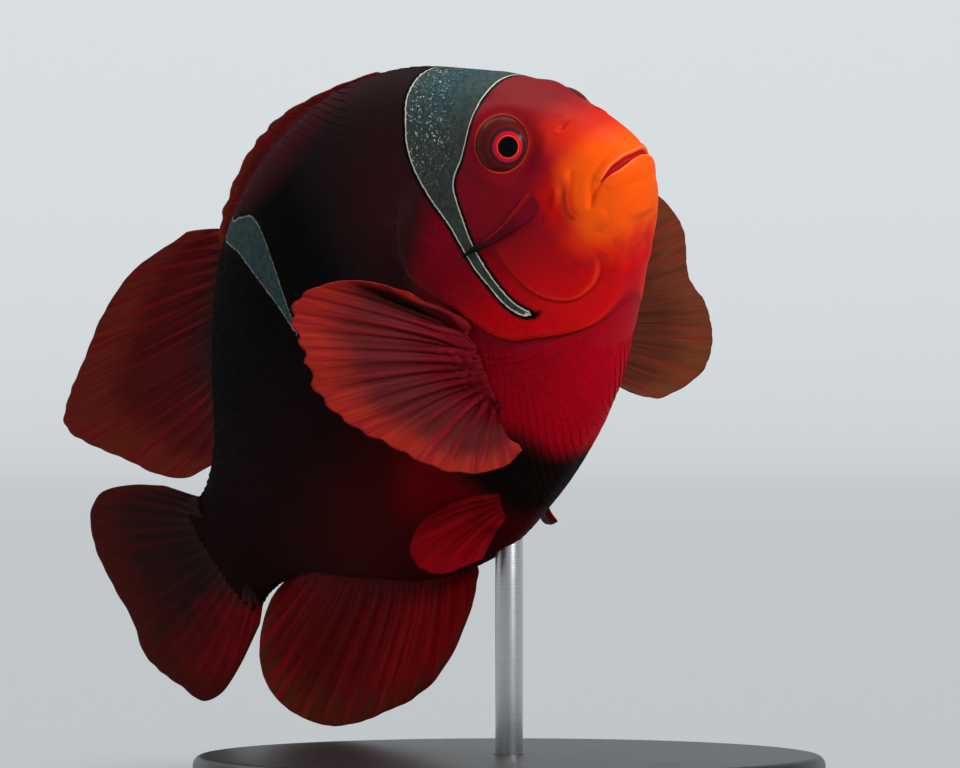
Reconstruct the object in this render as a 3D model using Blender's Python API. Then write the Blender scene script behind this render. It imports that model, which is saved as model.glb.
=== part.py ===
"""Spinecheek (maroon) clownfish, a life-size museum model on a plain display stand.

Lengths along and across the fish are fractions of its standard length, from the snout (0)
to the root of the tail fin (1).  In the fish's own frame the snout is the origin, x points
forwards, y to the fish's left and z up; `at(s, y, z)` turns fractions into metres there.
The empty `fish_pose` pitches the nose up and leans the back to the fish's right.
"""
import math

import bmesh
import bpy
import numpy as np
from mathutils import Matrix, Vector

# Size and pose
STANDARD_LENGTH = 0.112
NOSE_UP = math.radians(27.3)
LEAN_RIGHT = math.radians(22.0)
GAP = 0.0003

# Stand
BASE_RADIUS = 0.040
BASE_HEIGHT = 0.008
BASE_BEVEL = 0.0012
ROD_RADIUS = 0.00175
ROD_STATION = 0.54
ROD_IN_BODY = 0.006
ROD_IN_BASE = 0.004
SNOUT_OVER_BASE = 0.665 * STANDARD_LENGTH

# Body outline: stations behind the snout, height of the back, depth of the belly
STATIONS = (0.0, 0.02, 0.06, 0.11, 0.17, 0.24, 0.33, 0.44, 0.56, 0.68, 0.79, 0.88, 0.96, 1.0)
BACK = (-0.005, 0.048, 0.112, 0.168, 0.213, 0.257, 0.290, 0.302, 0.291, 0.252, 0.183, 0.113, 0.077, 0.075)
BELLY = (-0.005, -0.036, -0.067, -0.094, -0.128, -0.167, -0.198, -0.219, -0.223, -0.192, -0.134,
         -0.084, -0.068, -0.073)
WIDTH_STATIONS = (0.0, 0.02, 0.05, 0.09, 0.14, 0.22, 0.32, 0.45, 0.60, 0.75, 0.88, 1.0)
HALF_WIDTH = (0.0, 0.034, 0.052, 0.068, 0.080, 0.092, 0.099, 0.096, 0.080, 0.052, 0.028, 0.013)
SECTION_POWER = 2.2
SWAY = 0.033
SWAY_START = 0.20

# Where the body is parted, as (station, height) lines
GILL_EDGE = ((0.215, 0.290), (0.250, 0.190), (0.285, 0.110), (0.297, 0.045), (0.283, 0.012), (0.268, -0.015),
             (0.250, -0.050), (0.232, -0.076), (0.205, -0.094), (0.170, -0.104), (0.130, -0.102),
             (0.100, -0.088), (0.075, -0.130))
COVER_FRONT = ((0.235, 0.105), (0.190, 0.080), (0.174, 0.040), (0.173, -0.020), (0.167, -0.058),
               (0.150, -0.074))
COVER_LOW = ((0.172, -0.086), (0.230, -0.060))
COVER_INNER = 0.056
MOUTH_LINE = ((-0.020, 0.001), (0.0, -0.002), (0.018, -0.003), (0.034, -0.008), (0.050, -0.013))
JAW_REAR = ((0.054, -0.030), (0.062, -0.055), (0.070, -0.120))
TAIL_CUT = 0.870

# Eyes and cheek spines
EYE_STATION = 0.115
EYE_HEIGHT = 0.103
EYE_RADIUS = 0.032
EYE_SINK = 0.52
SPINE_LINE = ((0.085, 0.014), (0.120, 0.013), (0.160, 0.018), (0.195, 0.025), (0.222, 0.032))
SPINE_HALF_DEPTH = (0.0040, 0.0085, 0.0075, 0.0050, 0.0015)
SPINE_HALF_THICK = (0.0022, 0.0036, 0.0034, 0.0028, 0.0020)

# Fins: share of the way along the root, and the (station, height) of the ray tips there
FIN_HALF_ROOT = 0.0052
FIN_HALF_TIP = 0.0027
SOFT_DORSAL_ROOT = (0.640, 0.865)
SOFT_DORSAL_TIPS = ((0.0, 0.690, 0.300), (0.15, 0.800, 0.320), (0.3, 0.915, 0.321), (0.45, 1.030, 0.301),
                    (0.6, 1.112, 0.268), (0.7, 1.120, 0.232), (0.8, 1.080, 0.183), (0.9, 1.022, 0.132),
                    (1.0, 0.950, 0.103))
SPINY_DORSAL_ROOT = (0.262, 0.612)
SPINY_DORSAL_TIPS = ((0.0, 0.285, 0.2790), (0.2, 0.360, 0.304), (0.4, 0.437, 0.322), (0.6, 0.515, 0.322),
                     (0.8, 0.592, 0.305), (1.0, 0.650, 0.287))
ANAL_ROOT = (0.612, 0.900)
ANAL_TIPS = ((0.0, 0.655, -0.243), (0.15, 0.740, -0.271), (0.3, 0.830, -0.278), (0.45, 0.925, -0.263),
             (0.6, 1.012, -0.236), (0.7, 1.055, -0.203), (0.8, 1.077, -0.162), (0.9, 1.045, -0.121),
             (1.0, 0.980, -0.094))
CAUDAL_TIPS = ((0.0, 1.110, 0.160), (0.1, 1.170, 0.165), (0.2, 1.212, 0.149), (0.35, 1.229, 0.094),
               (0.5, 1.232, 0.022), (0.6, 1.262, -0.016), (0.75, 1.243, -0.066), (0.9, 1.190, -0.112),
               (1.0, 1.120, -0.119))
PECTORAL_TOP = (0.280, -0.026)
PECTORAL_BOTTOM = (0.328, -0.112)
PECTORAL_TIPS = {
    "right": ((0.0, 0.095, -0.140), (0.12, 0.145, -0.152), (0.25, 0.180, -0.130), (0.4, 0.184, -0.075),
              (0.55, 0.168, -0.015), (0.7, 0.128, 0.042), (0.8, 0.088, 0.080), (0.9, 0.044, 0.112),
              (1.0, 0.002, 0.108)),
    "left": ((0.0, 0.110, -0.135), (0.12, 0.160, -0.112), (0.25, 0.190, -0.072), (0.4, 0.203, -0.015),
             (0.55, 0.215, 0.040), (0.7, 0.200, 0.094), (0.8, 0.160, 0.120), (0.9, 0.100, 0.126),
             (1.0, 0.035, 0.110)),
}
PECTORAL_SWING = {"right": math.radians(55), "left": math.radians(80)}
PECTORAL_BOW = 0.010
PELVIC_FRONT = (0.436, -0.178)
PELVIC_REAR = (0.474, -0.200)
PELVIC_TIPS = ((0.0, 0.040, -0.038), (0.2, 0.082, -0.044), (0.4, 0.117, -0.033), (0.6, 0.127, -0.010),
               (0.8, 0.108, 0.016), (1.0, 0.064, 0.033))
PELVIC_SWING = math.radians(22)
PELVIC_LEAN = 0.30
PELVIC_BOW = 0.004


def at(s, y, z):
    """Point in the fish's frame, in metres."""
    return Vector((-s * STANDARD_LENGTH, y * STANDARD_LENGTH, z * STANDARD_LENGTH))


def smooth_curve(stations, values):
    """Cubic through the values, with the slope at each station set by its neighbours."""
    x = np.array(stations, float)
    v = np.array(values, float)
    slope = np.gradient(v, x)

    def curve(s):
        k = np.clip(np.searchsorted(x, s) - 1, 0, len(x) - 2)
        step = x[k + 1] - x[k]
        t = np.clip((s - x[k]) / step, 0.0, 1.0)
        start = (1 + 2 * t) * (1 - t) ** 2 * v[k] + t * (1 - t) ** 2 * step * slope[k]
        end = t * t * (3 - 2 * t) * v[k + 1] - t * t * (1 - t) * step * slope[k + 1]
        return start + end

    return curve


def blunt_curve(stations, values):
    """Smooth curve in the root of the station, so that the snout comes out round."""
    rooted = smooth_curve(np.sqrt(stations), values)
    return lambda s: rooted(np.sqrt(np.maximum(s, 0.0)))


back_line = blunt_curve(STATIONS, BACK)
belly_line = blunt_curve(STATIONS, BELLY)
half_width = blunt_curve(WIDTH_STATIONS, HALF_WIDTH)


def sway(s):
    """How far the midline is bent to the fish's left."""
    return SWAY * max(s - SWAY_START, 0.0) ** 2


def side(s, z):
    """Half width of the body at this station and height."""
    middle = (back_line(s) + belly_line(s)) / 2
    half_depth = (back_line(s) - belly_line(s)) / 2
    share = min(abs((z - middle) / half_depth), 1.0)
    return half_width(s) * math.sqrt(1 - share ** SECTION_POWER)


def section(s, count):
    """Ring of points round the body at one station."""
    middle = (back_line(s) + belly_line(s)) / 2
    half_depth = (back_line(s) - belly_line(s)) / 2
    ring = []
    for k in range(count):
        angle = 2 * math.pi * k / count
        across = math.copysign(abs(math.cos(angle)) ** (2 / SECTION_POWER), math.cos(angle))
        height = math.copysign(abs(math.sin(angle)) ** (2 / SECTION_POWER), math.sin(angle))
        ring.append(at(s, sway(s) + half_width(s) * across, middle + half_depth * height))
    return ring


def material(name, colour, roughness, metallic=0.0):
    made = bpy.data.materials.new(name)
    made.use_nodes = True
    made.diffuse_color = (*colour, 1.0)
    shader = made.node_tree.nodes["Principled BSDF"]
    shader.inputs["Base Color"].default_value = (*colour, 1.0)
    shader.inputs["Roughness"].default_value = roughness
    shader.inputs["Metallic"].default_value = metallic
    return made


def add_object(name, mesh, finish=None, parent=None):
    made = bpy.data.objects.new(name, mesh)
    bpy.context.scene.collection.objects.link(made)
    if finish is not None:
        made.data.materials.clear()
        made.data.materials.append(finish)
    made.parent = parent
    return made


def mesh_from(name, points, faces):
    """Closed mesh with its faces turned outwards."""
    mesh = bpy.data.meshes.new(name)
    mesh.from_pydata(points, [], faces)
    shape = bmesh.new()
    shape.from_mesh(mesh)
    bmesh.ops.recalc_face_normals(shape, faces=shape.faces)
    shape.to_mesh(mesh)
    shape.free()
    return mesh


def lofted(name, rings, nose=None):
    """Skin over rings of equal count, closed at both ends; a nose point may close the first."""
    count = len(rings[0])
    points = [point for ring in rings for point in ring]
    faces = []
    for r in range(len(rings) - 1):
        for k in range(count):
            n = (k + 1) % count
            faces.append((r * count + k, r * count + n, (r + 1) * count + n, (r + 1) * count + k))
    last = (len(rings) - 1) * count
    faces.append(tuple(last + k for k in range(count)))
    if nose is None:
        faces.append(tuple(range(count)))
    else:
        points.append(nose)
        faces += [(k, (k + 1) % count, len(points) - 1) for k in range(count)]
    return mesh_from(name, points, faces)


def body_mesh(name, ring_count=34, ring_points=28):
    """The whole body, from snout to the root of the tail fin, before it is parted."""
    stations = [(k / ring_count) ** 1.6 for k in range(1, ring_count + 1)]
    return lofted(name, [section(s, ring_points) for s in stations], nose=at(0, 0, -0.005))


def as_cutter(cutter):
    cutter.hide_render = True
    cutter.display_type = "WIRE"
    return cutter


def prism(name, outline, parent, y_from=-0.25, y_to=0.25):
    """Cutter whose (station, height) outline runs straight across the fish."""
    rings = [[at(s, y, z) for s, z in outline] for y in (y_from, y_to)]
    return as_cutter(add_object(name, lofted(name, rings), parent=parent))


def ball(name, centre, radius, segments, rings):
    mesh = bpy.data.meshes.new(name)
    shape = bmesh.new()
    bmesh.ops.create_uvsphere(shape, u_segments=segments, v_segments=rings, radius=radius)
    bmesh.ops.translate(shape, verts=shape.verts, vec=centre)
    shape.to_mesh(mesh)
    shape.free()
    return mesh


def cut(target, cutter, operation="DIFFERENCE"):
    step = target.modifiers.new(cutter.name, "BOOLEAN")
    step.operation = operation
    step.solver = "EXACT"
    step.object = cutter


def shifted(line, distance):
    """The line moved down and to the rear, by a distance in metres."""
    move = distance / STANDARD_LENGTH
    return [(s + move, z - move) for s, z in line]


def grown(outline, distance):
    """The outline moved out from its middle on every side, by a distance in metres."""
    points = np.array(outline, float)
    before = points - np.roll(points, 1, axis=0)
    after = np.roll(points, -1, axis=0) - points
    before /= np.linalg.norm(before, axis=1)[:, None]
    after /= np.linalg.norm(after, axis=1)[:, None]
    area = np.sum(points[:, 0] * np.roll(points[:, 1], -1) - np.roll(points[:, 0], -1) * points[:, 1])
    tangent = before + after
    normal = np.stack([tangent[:, 1], -tangent[:, 0]], axis=1) * math.copysign(1.0, area)
    reach = 2.0 / np.sum(normal * normal, axis=1)
    return [tuple(p) for p in points + normal * reach[:, None] * distance / STANDARD_LENGTH]


def sheet_solid(name, grid, half_root, half_tip):
    """Closed thin solid on a grid of points: rows are rays, columns run from root to tip."""
    rays, steps = grid.shape[:2]
    along = np.gradient(grid, axis=1)
    across = np.gradient(grid, axis=0)
    normal = np.cross(along, across)
    normal /= np.linalg.norm(normal, axis=2)[:, :, None]
    half = np.linspace(half_root, half_tip, steps)[None, :, None] * STANDARD_LENGTH
    points = [Vector(p) for p in (grid + normal * half).reshape(-1, 3)]
    points += [Vector(p) for p in (grid - normal * half).reshape(-1, 3)]
    other = rays * steps
    faces = []
    for r in range(rays - 1):
        for k in range(steps - 1):
            corner = (r * steps + k, (r + 1) * steps + k, (r + 1) * steps + k + 1, r * steps + k + 1)
            faces.append(corner)
            faces.append(tuple(other + c for c in reversed(corner)))
    rim = [r * steps for r in range(rays)]
    rim += [(rays - 1) * steps + k for k in range(1, steps)]
    rim += [r * steps + steps - 1 for r in range(rays - 2, -1, -1)]
    rim += [k for k in range(steps - 2, 0, -1)]
    for k, corner in enumerate(rim):
        following = rim[(k + 1) % len(rim)]
        faces.append((corner, following, other + following, other + corner))
    return mesh_from(name, points, faces)


def ray_grid(roots, tips, steps, bow):
    """Points along each ray, bowed at mid-length by `bow`, in metres."""
    share = np.linspace(0.0, 1.0, steps + 1)[None, :, None]
    roots = np.array(roots)[:, None, :]
    tips = np.array(tips)[:, None, :]
    return roots + (tips - roots) * share + np.array(bow) * 4 * share * (1 - share)


def tip_curves(table):
    shares, first, second = zip(*table)
    return smooth_curve(shares, first), smooth_curve(shares, second)


def median_fin(name, root, line, table, rays, steps, finish, parent, bow=0.0):
    """Fin on the midline, rooted on the back or belly line with the usual gap."""
    tip_s, tip_z = tip_curves(table)
    lift = math.copysign(1.7 * GAP / STANDARD_LENGTH, table[-1][2])
    roots, tips = [], []
    for share in np.linspace(0.0, 1.0, rays):
        s = root[0] + (root[1] - root[0]) * share
        roots.append(at(s, sway(s), line(s) + lift))
        tips.append(at(tip_s(share), sway(tip_s(share)), tip_z(share)))
    grid = ray_grid(roots, tips, steps, at(0, bow, 0))
    return add_object(name, sheet_solid(name, grid, FIN_HALF_ROOT, FIN_HALF_TIP), finish, parent)


def caudal_fin(finish, parent):
    """Tail fin: its rays fan out from the rear edge of the tail stalk."""
    tip_s, tip_z = tip_curves(CAUDAL_TIPS)
    start = 1.0 + GAP / STANDARD_LENGTH
    top, bottom = back_line(1.0) - 0.004, belly_line(1.0) + 0.004
    roots, tips = [], []
    for share in np.linspace(0.0, 1.0, 21):
        roots.append(at(start, sway(start), top + (bottom - top) * share))
        wave = 0.012 * math.sin(2 * math.pi * share)
        tips.append(at(tip_s(share), sway(tip_s(share)) + wave, tip_z(share)))
    grid = ray_grid(roots, tips, 6, (0, 0, 0))
    mesh = sheet_solid("caudal_fin", grid, FIN_HALF_ROOT, FIN_HALF_TIP)
    return add_object("caudal_fin", mesh, finish, parent)


def paired_fin(name, hand, front, rear, fan_axis, table, swing, rays, steps, bow, finish, parent):
    """Fin on one flank: a fan in the plane of the fan axis and a direction swung out from the body.

    The table holds each tip's reach away from the body and its place along the fan axis.
    """
    outwards = -1.0 if hand == "right" else 1.0
    clearance = FIN_HALF_ROOT + 1.5 * GAP / STANDARD_LENGTH
    roots = []
    for share in np.linspace(0.0, 1.0, rays):
        s = front[0] + (rear[0] - front[0]) * share
        z = front[1] + (rear[1] - front[1]) * share
        roots.append(at(s, sway(s) + outwards * (side(s, z) + clearance), z))
    middle = (roots[0] + roots[-1]) / 2
    axis = (roots[-1] - roots[0]).normalized() if fan_axis is None else fan_axis.normalized()
    reach = Vector((-math.cos(swing), outwards * math.sin(swing), 0.0))
    reach = (reach - reach.dot(axis) * axis).normalized()
    tip_out, tip_along = tip_curves(table)
    tips = []
    for share in np.linspace(0.0, 1.0, rays):
        step = reach * float(tip_out(share)) + axis * float(tip_along(share))
        tips.append(middle + step * STANDARD_LENGTH)
    grid = ray_grid(roots, tips, steps, reach.cross(axis) * outwards * bow * STANDARD_LENGTH)
    return add_object(name, sheet_solid(name, grid, FIN_HALF_ROOT, FIN_HALF_TIP), finish, parent)


def cheek_spine(hand, finish, parent):
    """Flat blade that lies on the cheek under the eye and points backwards."""
    outwards = -1.0 if hand == "right" else 1.0
    stations, heights = zip(*SPINE_LINE)
    rings = []
    for s, z, deep, thick in zip(stations, heights, SPINE_HALF_DEPTH, SPINE_HALF_THICK):
        lift = max(side(s, z), side(s, z - deep), side(s, z + deep)) + thick + 1.6 * GAP / STANDARD_LENGTH
        ring = []
        for k in range(10):
            angle = 2 * math.pi * k / 10
            y = sway(s) + outwards * (lift + thick * math.cos(angle))
            ring.append(at(s, y, z + deep * math.sin(angle)))
        rings.append(ring)
    name = "cheek_spine_" + hand
    return add_object(name, lofted(name, rings), finish, parent)


def eye_centre(hand):
    outwards = -1.0 if hand == "right" else 1.0
    depth = side(EYE_STATION, EYE_HEIGHT) - EYE_SINK * EYE_RADIUS
    return at(EYE_STATION, outwards * depth, EYE_HEIGHT)


def disc(name, radius, height, centre, segments=48):
    mesh = bpy.data.meshes.new(name)
    shape = bmesh.new()
    bmesh.ops.create_cone(shape, cap_ends=True, segments=segments, radius1=radius, radius2=radius,
                          depth=height)
    bmesh.ops.translate(shape, verts=shape.verts, vec=centre)
    shape.to_mesh(mesh)
    shape.free()
    return mesh


for leftover in list(bpy.data.objects):
    bpy.data.objects.remove(leftover, do_unlink=True)

crimson = material("head_red", (0.50, 0.045, 0.020), 0.45)
orange = material("jaw_orange", (0.78, 0.16, 0.030), 0.45)
maroon = material("flank_maroon", (0.075, 0.012, 0.016), 0.50)
fin_red = material("fin_red", (0.28, 0.030, 0.022), 0.55)
spine_red = material("spine_maroon", (0.16, 0.012, 0.020), 0.40)
eye_black = material("eye_dark", (0.030, 0.010, 0.012), 0.10)
lacquer = material("stand_lacquer", (0.030, 0.030, 0.032), 0.45)
steel = material("stand_steel", (0.55, 0.55, 0.56), 0.30, 1.0)

# The rod stands at the middle of the base, so the belly at ROD_STATION is placed over it.
turned = Matrix.Rotation(-NOSE_UP, 4, "Y") @ Matrix.Rotation(LEAN_RIGHT, 4, "X")
belly_point = turned @ at(ROD_STATION, sway(ROD_STATION), belly_line(ROD_STATION))
snout_height = BASE_HEIGHT + SNOUT_OVER_BASE
pose = bpy.data.objects.new("fish_pose", None)
bpy.context.scene.collection.objects.link(pose)
pose.matrix_world = Matrix.Translation((-belly_point.x, -belly_point.y, snout_height)) @ turned

# Cutters that part the body
far_ahead, far_behind, far_up, far_down = -0.1, 1.3, 0.6, -0.6
head_side = shifted(GILL_EDGE, -GAP / 2)
trunk_side = shifted(GILL_EDGE, GAP / 2)
behind_head = prism("cut_behind_head", [(head_side[0][0], far_up)] + head_side
                    + [(head_side[-1][0], far_down), (far_behind, far_down), (far_behind, far_up)], pose)
before_trunk = prism("cut_before_trunk", [(trunk_side[0][0], far_up)] + trunk_side
                     + [(trunk_side[-1][0], far_down), (far_ahead, far_down), (far_ahead, far_up)], pose)
jaw_outline = list(MOUTH_LINE + JAW_REAR) + [(-0.020, -0.120)]
jaw_room = prism("cut_jaw_room", grown(jaw_outline, GAP), pose)
jaw_block = prism("cut_jaw_block", jaw_outline, pose)
tail_gap = GAP / STANDARD_LENGTH / 2
tail_room = prism("cut_tail_room", [(TAIL_CUT - tail_gap, far_up), (TAIL_CUT - tail_gap, far_down),
                                    (far_behind, far_down), (far_behind, far_up)], pose)
tail_block = prism("cut_tail_block", [(TAIL_CUT + tail_gap, far_up), (TAIL_CUT + tail_gap, far_down),
                                      (far_behind, far_down), (far_behind, far_up)], pose)

body_parts = {}
for name, finish in (("head", crimson), ("lower_jaw", orange), ("trunk", maroon), ("tail_stalk", maroon)):
    body_parts[name] = add_object(name, body_mesh(name), finish, pose)
cut(body_parts["head"], behind_head)
cut(body_parts["head"], jaw_room)
cut(body_parts["lower_jaw"], jaw_block, "INTERSECT")
cut(body_parts["trunk"], before_trunk)
cut(body_parts["trunk"], tail_room)
cut(body_parts["tail_stalk"], tail_block, "INTERSECT")

# Gill covers are plates let into the sides of the head; they end at the gill edge.
cover_rear = [(s, z) for s, z in reversed(head_side) if -0.06 < z < 0.09]
cover_outline = list(COVER_FRONT) + list(COVER_LOW) + cover_rear + [(0.285, 0.098)]
cover_room_outline = grown(list(COVER_FRONT) + list(COVER_LOW) + [(0.45, -0.060), (0.45, 0.105)], GAP)
inner = COVER_INNER - GAP / STANDARD_LENGTH
for hand, outwards in (("right", -1.0), ("left", 1.0)):
    room = prism("cut_cover_room_" + hand, cover_room_outline, pose, outwards * inner, outwards * 0.2)
    block = prism("cut_cover_block_" + hand, cover_outline, pose, outwards * COVER_INNER, outwards * 0.2)
    cover = add_object("gill_cover_" + hand, body_mesh("gill_cover_" + hand), crimson, pose)
    cut(cover, block, "INTERSECT")
    cut(body_parts["head"], room)

    eye_name = "eye_" + hand
    eye_radius = EYE_RADIUS * STANDARD_LENGTH
    add_object(eye_name, ball(eye_name, eye_centre(hand), eye_radius, 20, 12), eye_black, pose)
    socket_mesh = ball("cut_socket_" + hand, eye_centre(hand), eye_radius + GAP, 20, 12)
    cut(body_parts["head"], as_cutter(add_object("cut_socket_" + hand, socket_mesh, parent=pose)))

    cheek_spine(hand, spine_red, pose)
    paired_fin("pectoral_fin_" + hand, hand, PECTORAL_TOP, PECTORAL_BOTTOM, None, PECTORAL_TIPS[hand],
               PECTORAL_SWING[hand], 17, 6, PECTORAL_BOW, fin_red, pose)
    pelvic_axis = Vector((0.0, -outwards * PELVIC_LEAN, -1.0))
    paired_fin("pelvic_fin_" + hand, hand, PELVIC_FRONT, PELVIC_REAR, pelvic_axis, PELVIC_TIPS,
               PELVIC_SWING, 9, 5, PELVIC_BOW, fin_red, pose)

# Fins on the midline
median_fin("dorsal_fin_spiny", SPINY_DORSAL_ROOT, back_line, SPINY_DORSAL_TIPS, 17, 2, fin_red, pose)
median_fin("dorsal_fin_soft", SOFT_DORSAL_ROOT, back_line, SOFT_DORSAL_TIPS, 19, 6, fin_red, pose, 0.010)
median_fin("anal_fin", ANAL_ROOT, belly_line, ANAL_TIPS, 17, 6, fin_red, pose, 0.006)
caudal_fin(fin_red, pose)

# Stand: lacquered disc with a blind hole, and a steel rod that stands in it and enters the belly
base = add_object("stand_base", disc("stand_base", BASE_RADIUS, BASE_HEIGHT, (0, 0, BASE_HEIGHT / 2)), lacquer)
soften = base.modifiers.new("edge", "BEVEL")
soften.width = BASE_BEVEL
soften.segments = 1
soften.limit_method = "ANGLE"
hole_height = 2 * ROD_IN_BASE
hole = disc("cut_base_hole", ROD_RADIUS + GAP, hole_height, (0, 0, BASE_HEIGHT), 24)
cut(base, as_cutter(add_object("cut_base_hole", hole)))
belly_height = snout_height + belly_point.z
rod_bottom = BASE_HEIGHT - ROD_IN_BASE + GAP
rod_top = belly_height + ROD_IN_BODY
rod_middle = (rod_bottom + rod_top) / 2
add_object("stand_rod", disc("stand_rod", ROD_RADIUS, rod_top - rod_bottom, (0, 0, rod_middle), 24), steel)
bore_middle = (0, 0, rod_top + GAP - 0.010)
bore = disc("cut_body_hole", ROD_RADIUS + GAP, 0.020, bore_middle, 24)
cut(body_parts["trunk"], as_cutter(add_object("cut_body_hole", bore)))
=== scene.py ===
"""A spinecheek (maroon) clownfish, life size, as a museum shows it, on a plain display stand."""
import math

import bpy
import numpy as np
from mathutils import Matrix, Vector


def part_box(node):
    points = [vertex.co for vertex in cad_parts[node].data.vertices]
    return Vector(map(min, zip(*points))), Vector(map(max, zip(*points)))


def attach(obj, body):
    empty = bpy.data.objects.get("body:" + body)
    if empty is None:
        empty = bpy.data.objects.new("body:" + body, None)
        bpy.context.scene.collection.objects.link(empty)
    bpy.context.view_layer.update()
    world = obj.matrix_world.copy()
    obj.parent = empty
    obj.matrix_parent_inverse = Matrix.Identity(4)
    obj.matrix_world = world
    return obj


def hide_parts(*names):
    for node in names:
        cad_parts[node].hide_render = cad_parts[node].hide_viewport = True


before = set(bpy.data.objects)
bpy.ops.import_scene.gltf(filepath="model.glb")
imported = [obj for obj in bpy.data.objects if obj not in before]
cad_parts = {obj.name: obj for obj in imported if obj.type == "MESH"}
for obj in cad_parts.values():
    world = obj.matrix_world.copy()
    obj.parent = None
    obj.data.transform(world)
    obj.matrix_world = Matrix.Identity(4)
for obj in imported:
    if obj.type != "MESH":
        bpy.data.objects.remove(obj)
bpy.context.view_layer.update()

# ---------------------------------------------------------------------------------------------
# Stand base: a turned wooden disc with a softened rim, sprayed in satin black lacquer.
# Its flat underside rests on the shelf and a blind hole in the top takes the rod.
LACQUER_BLACK = (0.018, 0.018, 0.020, 1)
LACQUER_GREY = (0.034, 0.034, 0.037, 1)
TURNED_SIDES = 144
BASE_LOW, BASE_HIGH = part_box("stand_base")
BASE_RADIUS = BASE_HIGH[0]
BASE_HEIGHT = BASE_HIGH[2]
BASE_BEVEL = 0.0012
BASE_FLAT_RADIUS = BASE_RADIUS - 1.2 * BASE_BEVEL
BASE_HOLE_RADIUS = 0.00195
BASE_HOLE_DEPTH = 0.0041


class Wire:
    """One output of a material's node.  Arithmetic on it adds Math nodes to the same material."""

    def __init__(self, tree, socket=None):
        self.tree = tree
        self.socket = socket

    def node(self, kind, settings=(), inputs=(), out=0):
        """Adds a node, sets it, fills or links its inputs, and wires one of its outputs."""
        made = self.tree.nodes.new("ShaderNode" + kind)
        for name, value in dict(settings).items():
            setattr(made, name, value)
        for name, value in dict(inputs).items():
            if isinstance(value, Wire):
                self.tree.links.new(value.socket, made.inputs[name])
            else:
                made.inputs[name].default_value = value
        return Wire(self.tree, made.outputs[out])

    def math(self, operation, *others, reflected=False):
        """A Math node on this number and the others, which come first if it is reflected."""
        numbers = (*others, self) if reflected else (self, *others)
        return self.node("Math", {"operation": operation}, dict(enumerate(numbers)))

    def __add__(self, other):
        return self.math("ADD", other)

    def __mul__(self, other):
        return self.math("MULTIPLY", other)

    def __sub__(self, other):
        return self.math("SUBTRACT", other)

    def __truediv__(self, other):
        return self.math("DIVIDE", other)

    def __pow__(self, other):
        return self.math("POWER", other)

    def __rsub__(self, other):
        return self.math("SUBTRACT", other, reflected=True)

    def __rtruediv__(self, other):
        return self.math("DIVIDE", other, reflected=True)

    def __rpow__(self, other):
        return self.math("POWER", other, reflected=True)

    __radd__ = __add__
    __rmul__ = __mul__

    def rise(self, low, high):
        """0 below low, 1 above high, with a soft step between; high may be the lower one."""
        return self.node("MapRange", {"interpolation_type": "SMOOTHSTEP"}, {0: self, 1: low, 2: high})

    def band(self, low, high, soft):
        return self.rise(low - soft, low + soft) * self.rise(high + soft, high - soft)

    def most(self, other):
        """The larger of two numbers."""
        return self.math("MAXIMUM", other)

    def attribute(self, name):
        return self.node("Attribute", {"attribute_name": name, "attribute_type": "GEOMETRY"}, out="Vector")

    def parts(self):
        """The three numbers of a vector."""
        split = self.node("SeparateXYZ", {}, {0: self}).socket.node
        return [Wire(self.tree, output) for output in split.outputs]

    def noise(self, scale, detail=3.0, rough=0.5, vector=None):
        """Cloudy noise about 0.5; scale is in clouds to the metre."""
        inputs = {"Scale": scale, "Detail": detail, "Roughness": rough}
        inputs["Vector"] = vector or self.node("TexCoord", out="Object")
        return self.node("TexNoise", {}, inputs)

    def over(self, under, colour):
        """The colour laid over the one under it, where this mask is 1."""
        mixed = {0: self, 6: under, 7: colour}
        return self.node("Mix", {"data_type": "RGBA", "clamp_factor": True}, mixed, out=2)

    def times(self, factor):
        """This colour made lighter or darker."""
        return self.node("VectorMath", {"operation": "SCALE"}, {0: self, "Scale": factor})


def layered(colour, *layers):
    """The colour with each mask's paint laid over it in turn."""
    for mask, paint in layers:
        colour = mask.over(colour, paint)
    return colour


def new_finish(name, **constants):
    """An empty material, its shader with constants set, and a wire to start its nodes from."""
    made = bpy.data.materials.new(name)
    made.use_nodes = True
    shader = made.node_tree.nodes["Principled BSDF"]
    for socket, value in constants.items():
        shader.inputs[socket.replace("_", " ")].default_value = value
    return made, shader, Wire(made.node_tree)


def feed(shader, wires):
    """Links wires into the shader's own sockets."""
    for name, wire in wires.items():
        wire.tree.links.new(wire.socket, shader.inputs[name])


def relieved(start, height, distance, strength=1.0, over=None):
    """A bump node's normal for a height, over a coarser bump's if one is given."""
    inputs = {"Height": height, "Distance": distance, "Strength": strength}
    if over is not None:
        inputs["Normal"] = over
    return start.node("Bump", {}, inputs)


def lacquer():
    made, shader, start = new_finish("satin_black_lacquer", Specular_IOR_Level=0.35)
    mist = start.noise(900.0, 4.0, 0.6)
    wear = start.noise(60.0, 5.0, 0.65).rise(0.62, 0.78)
    colour = (mist.rise(0.35, 0.7) * 0.6).over(LACQUER_BLACK, LACQUER_GREY)
    skin_of_spray = start.noise(2600.0, 2.0)
    feed(shader, {"Base Color": colour, "Roughness": 0.38 + wear * 0.10,
                  "Normal": relieved(start, skin_of_spray, 0.00004)})
    return made


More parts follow.
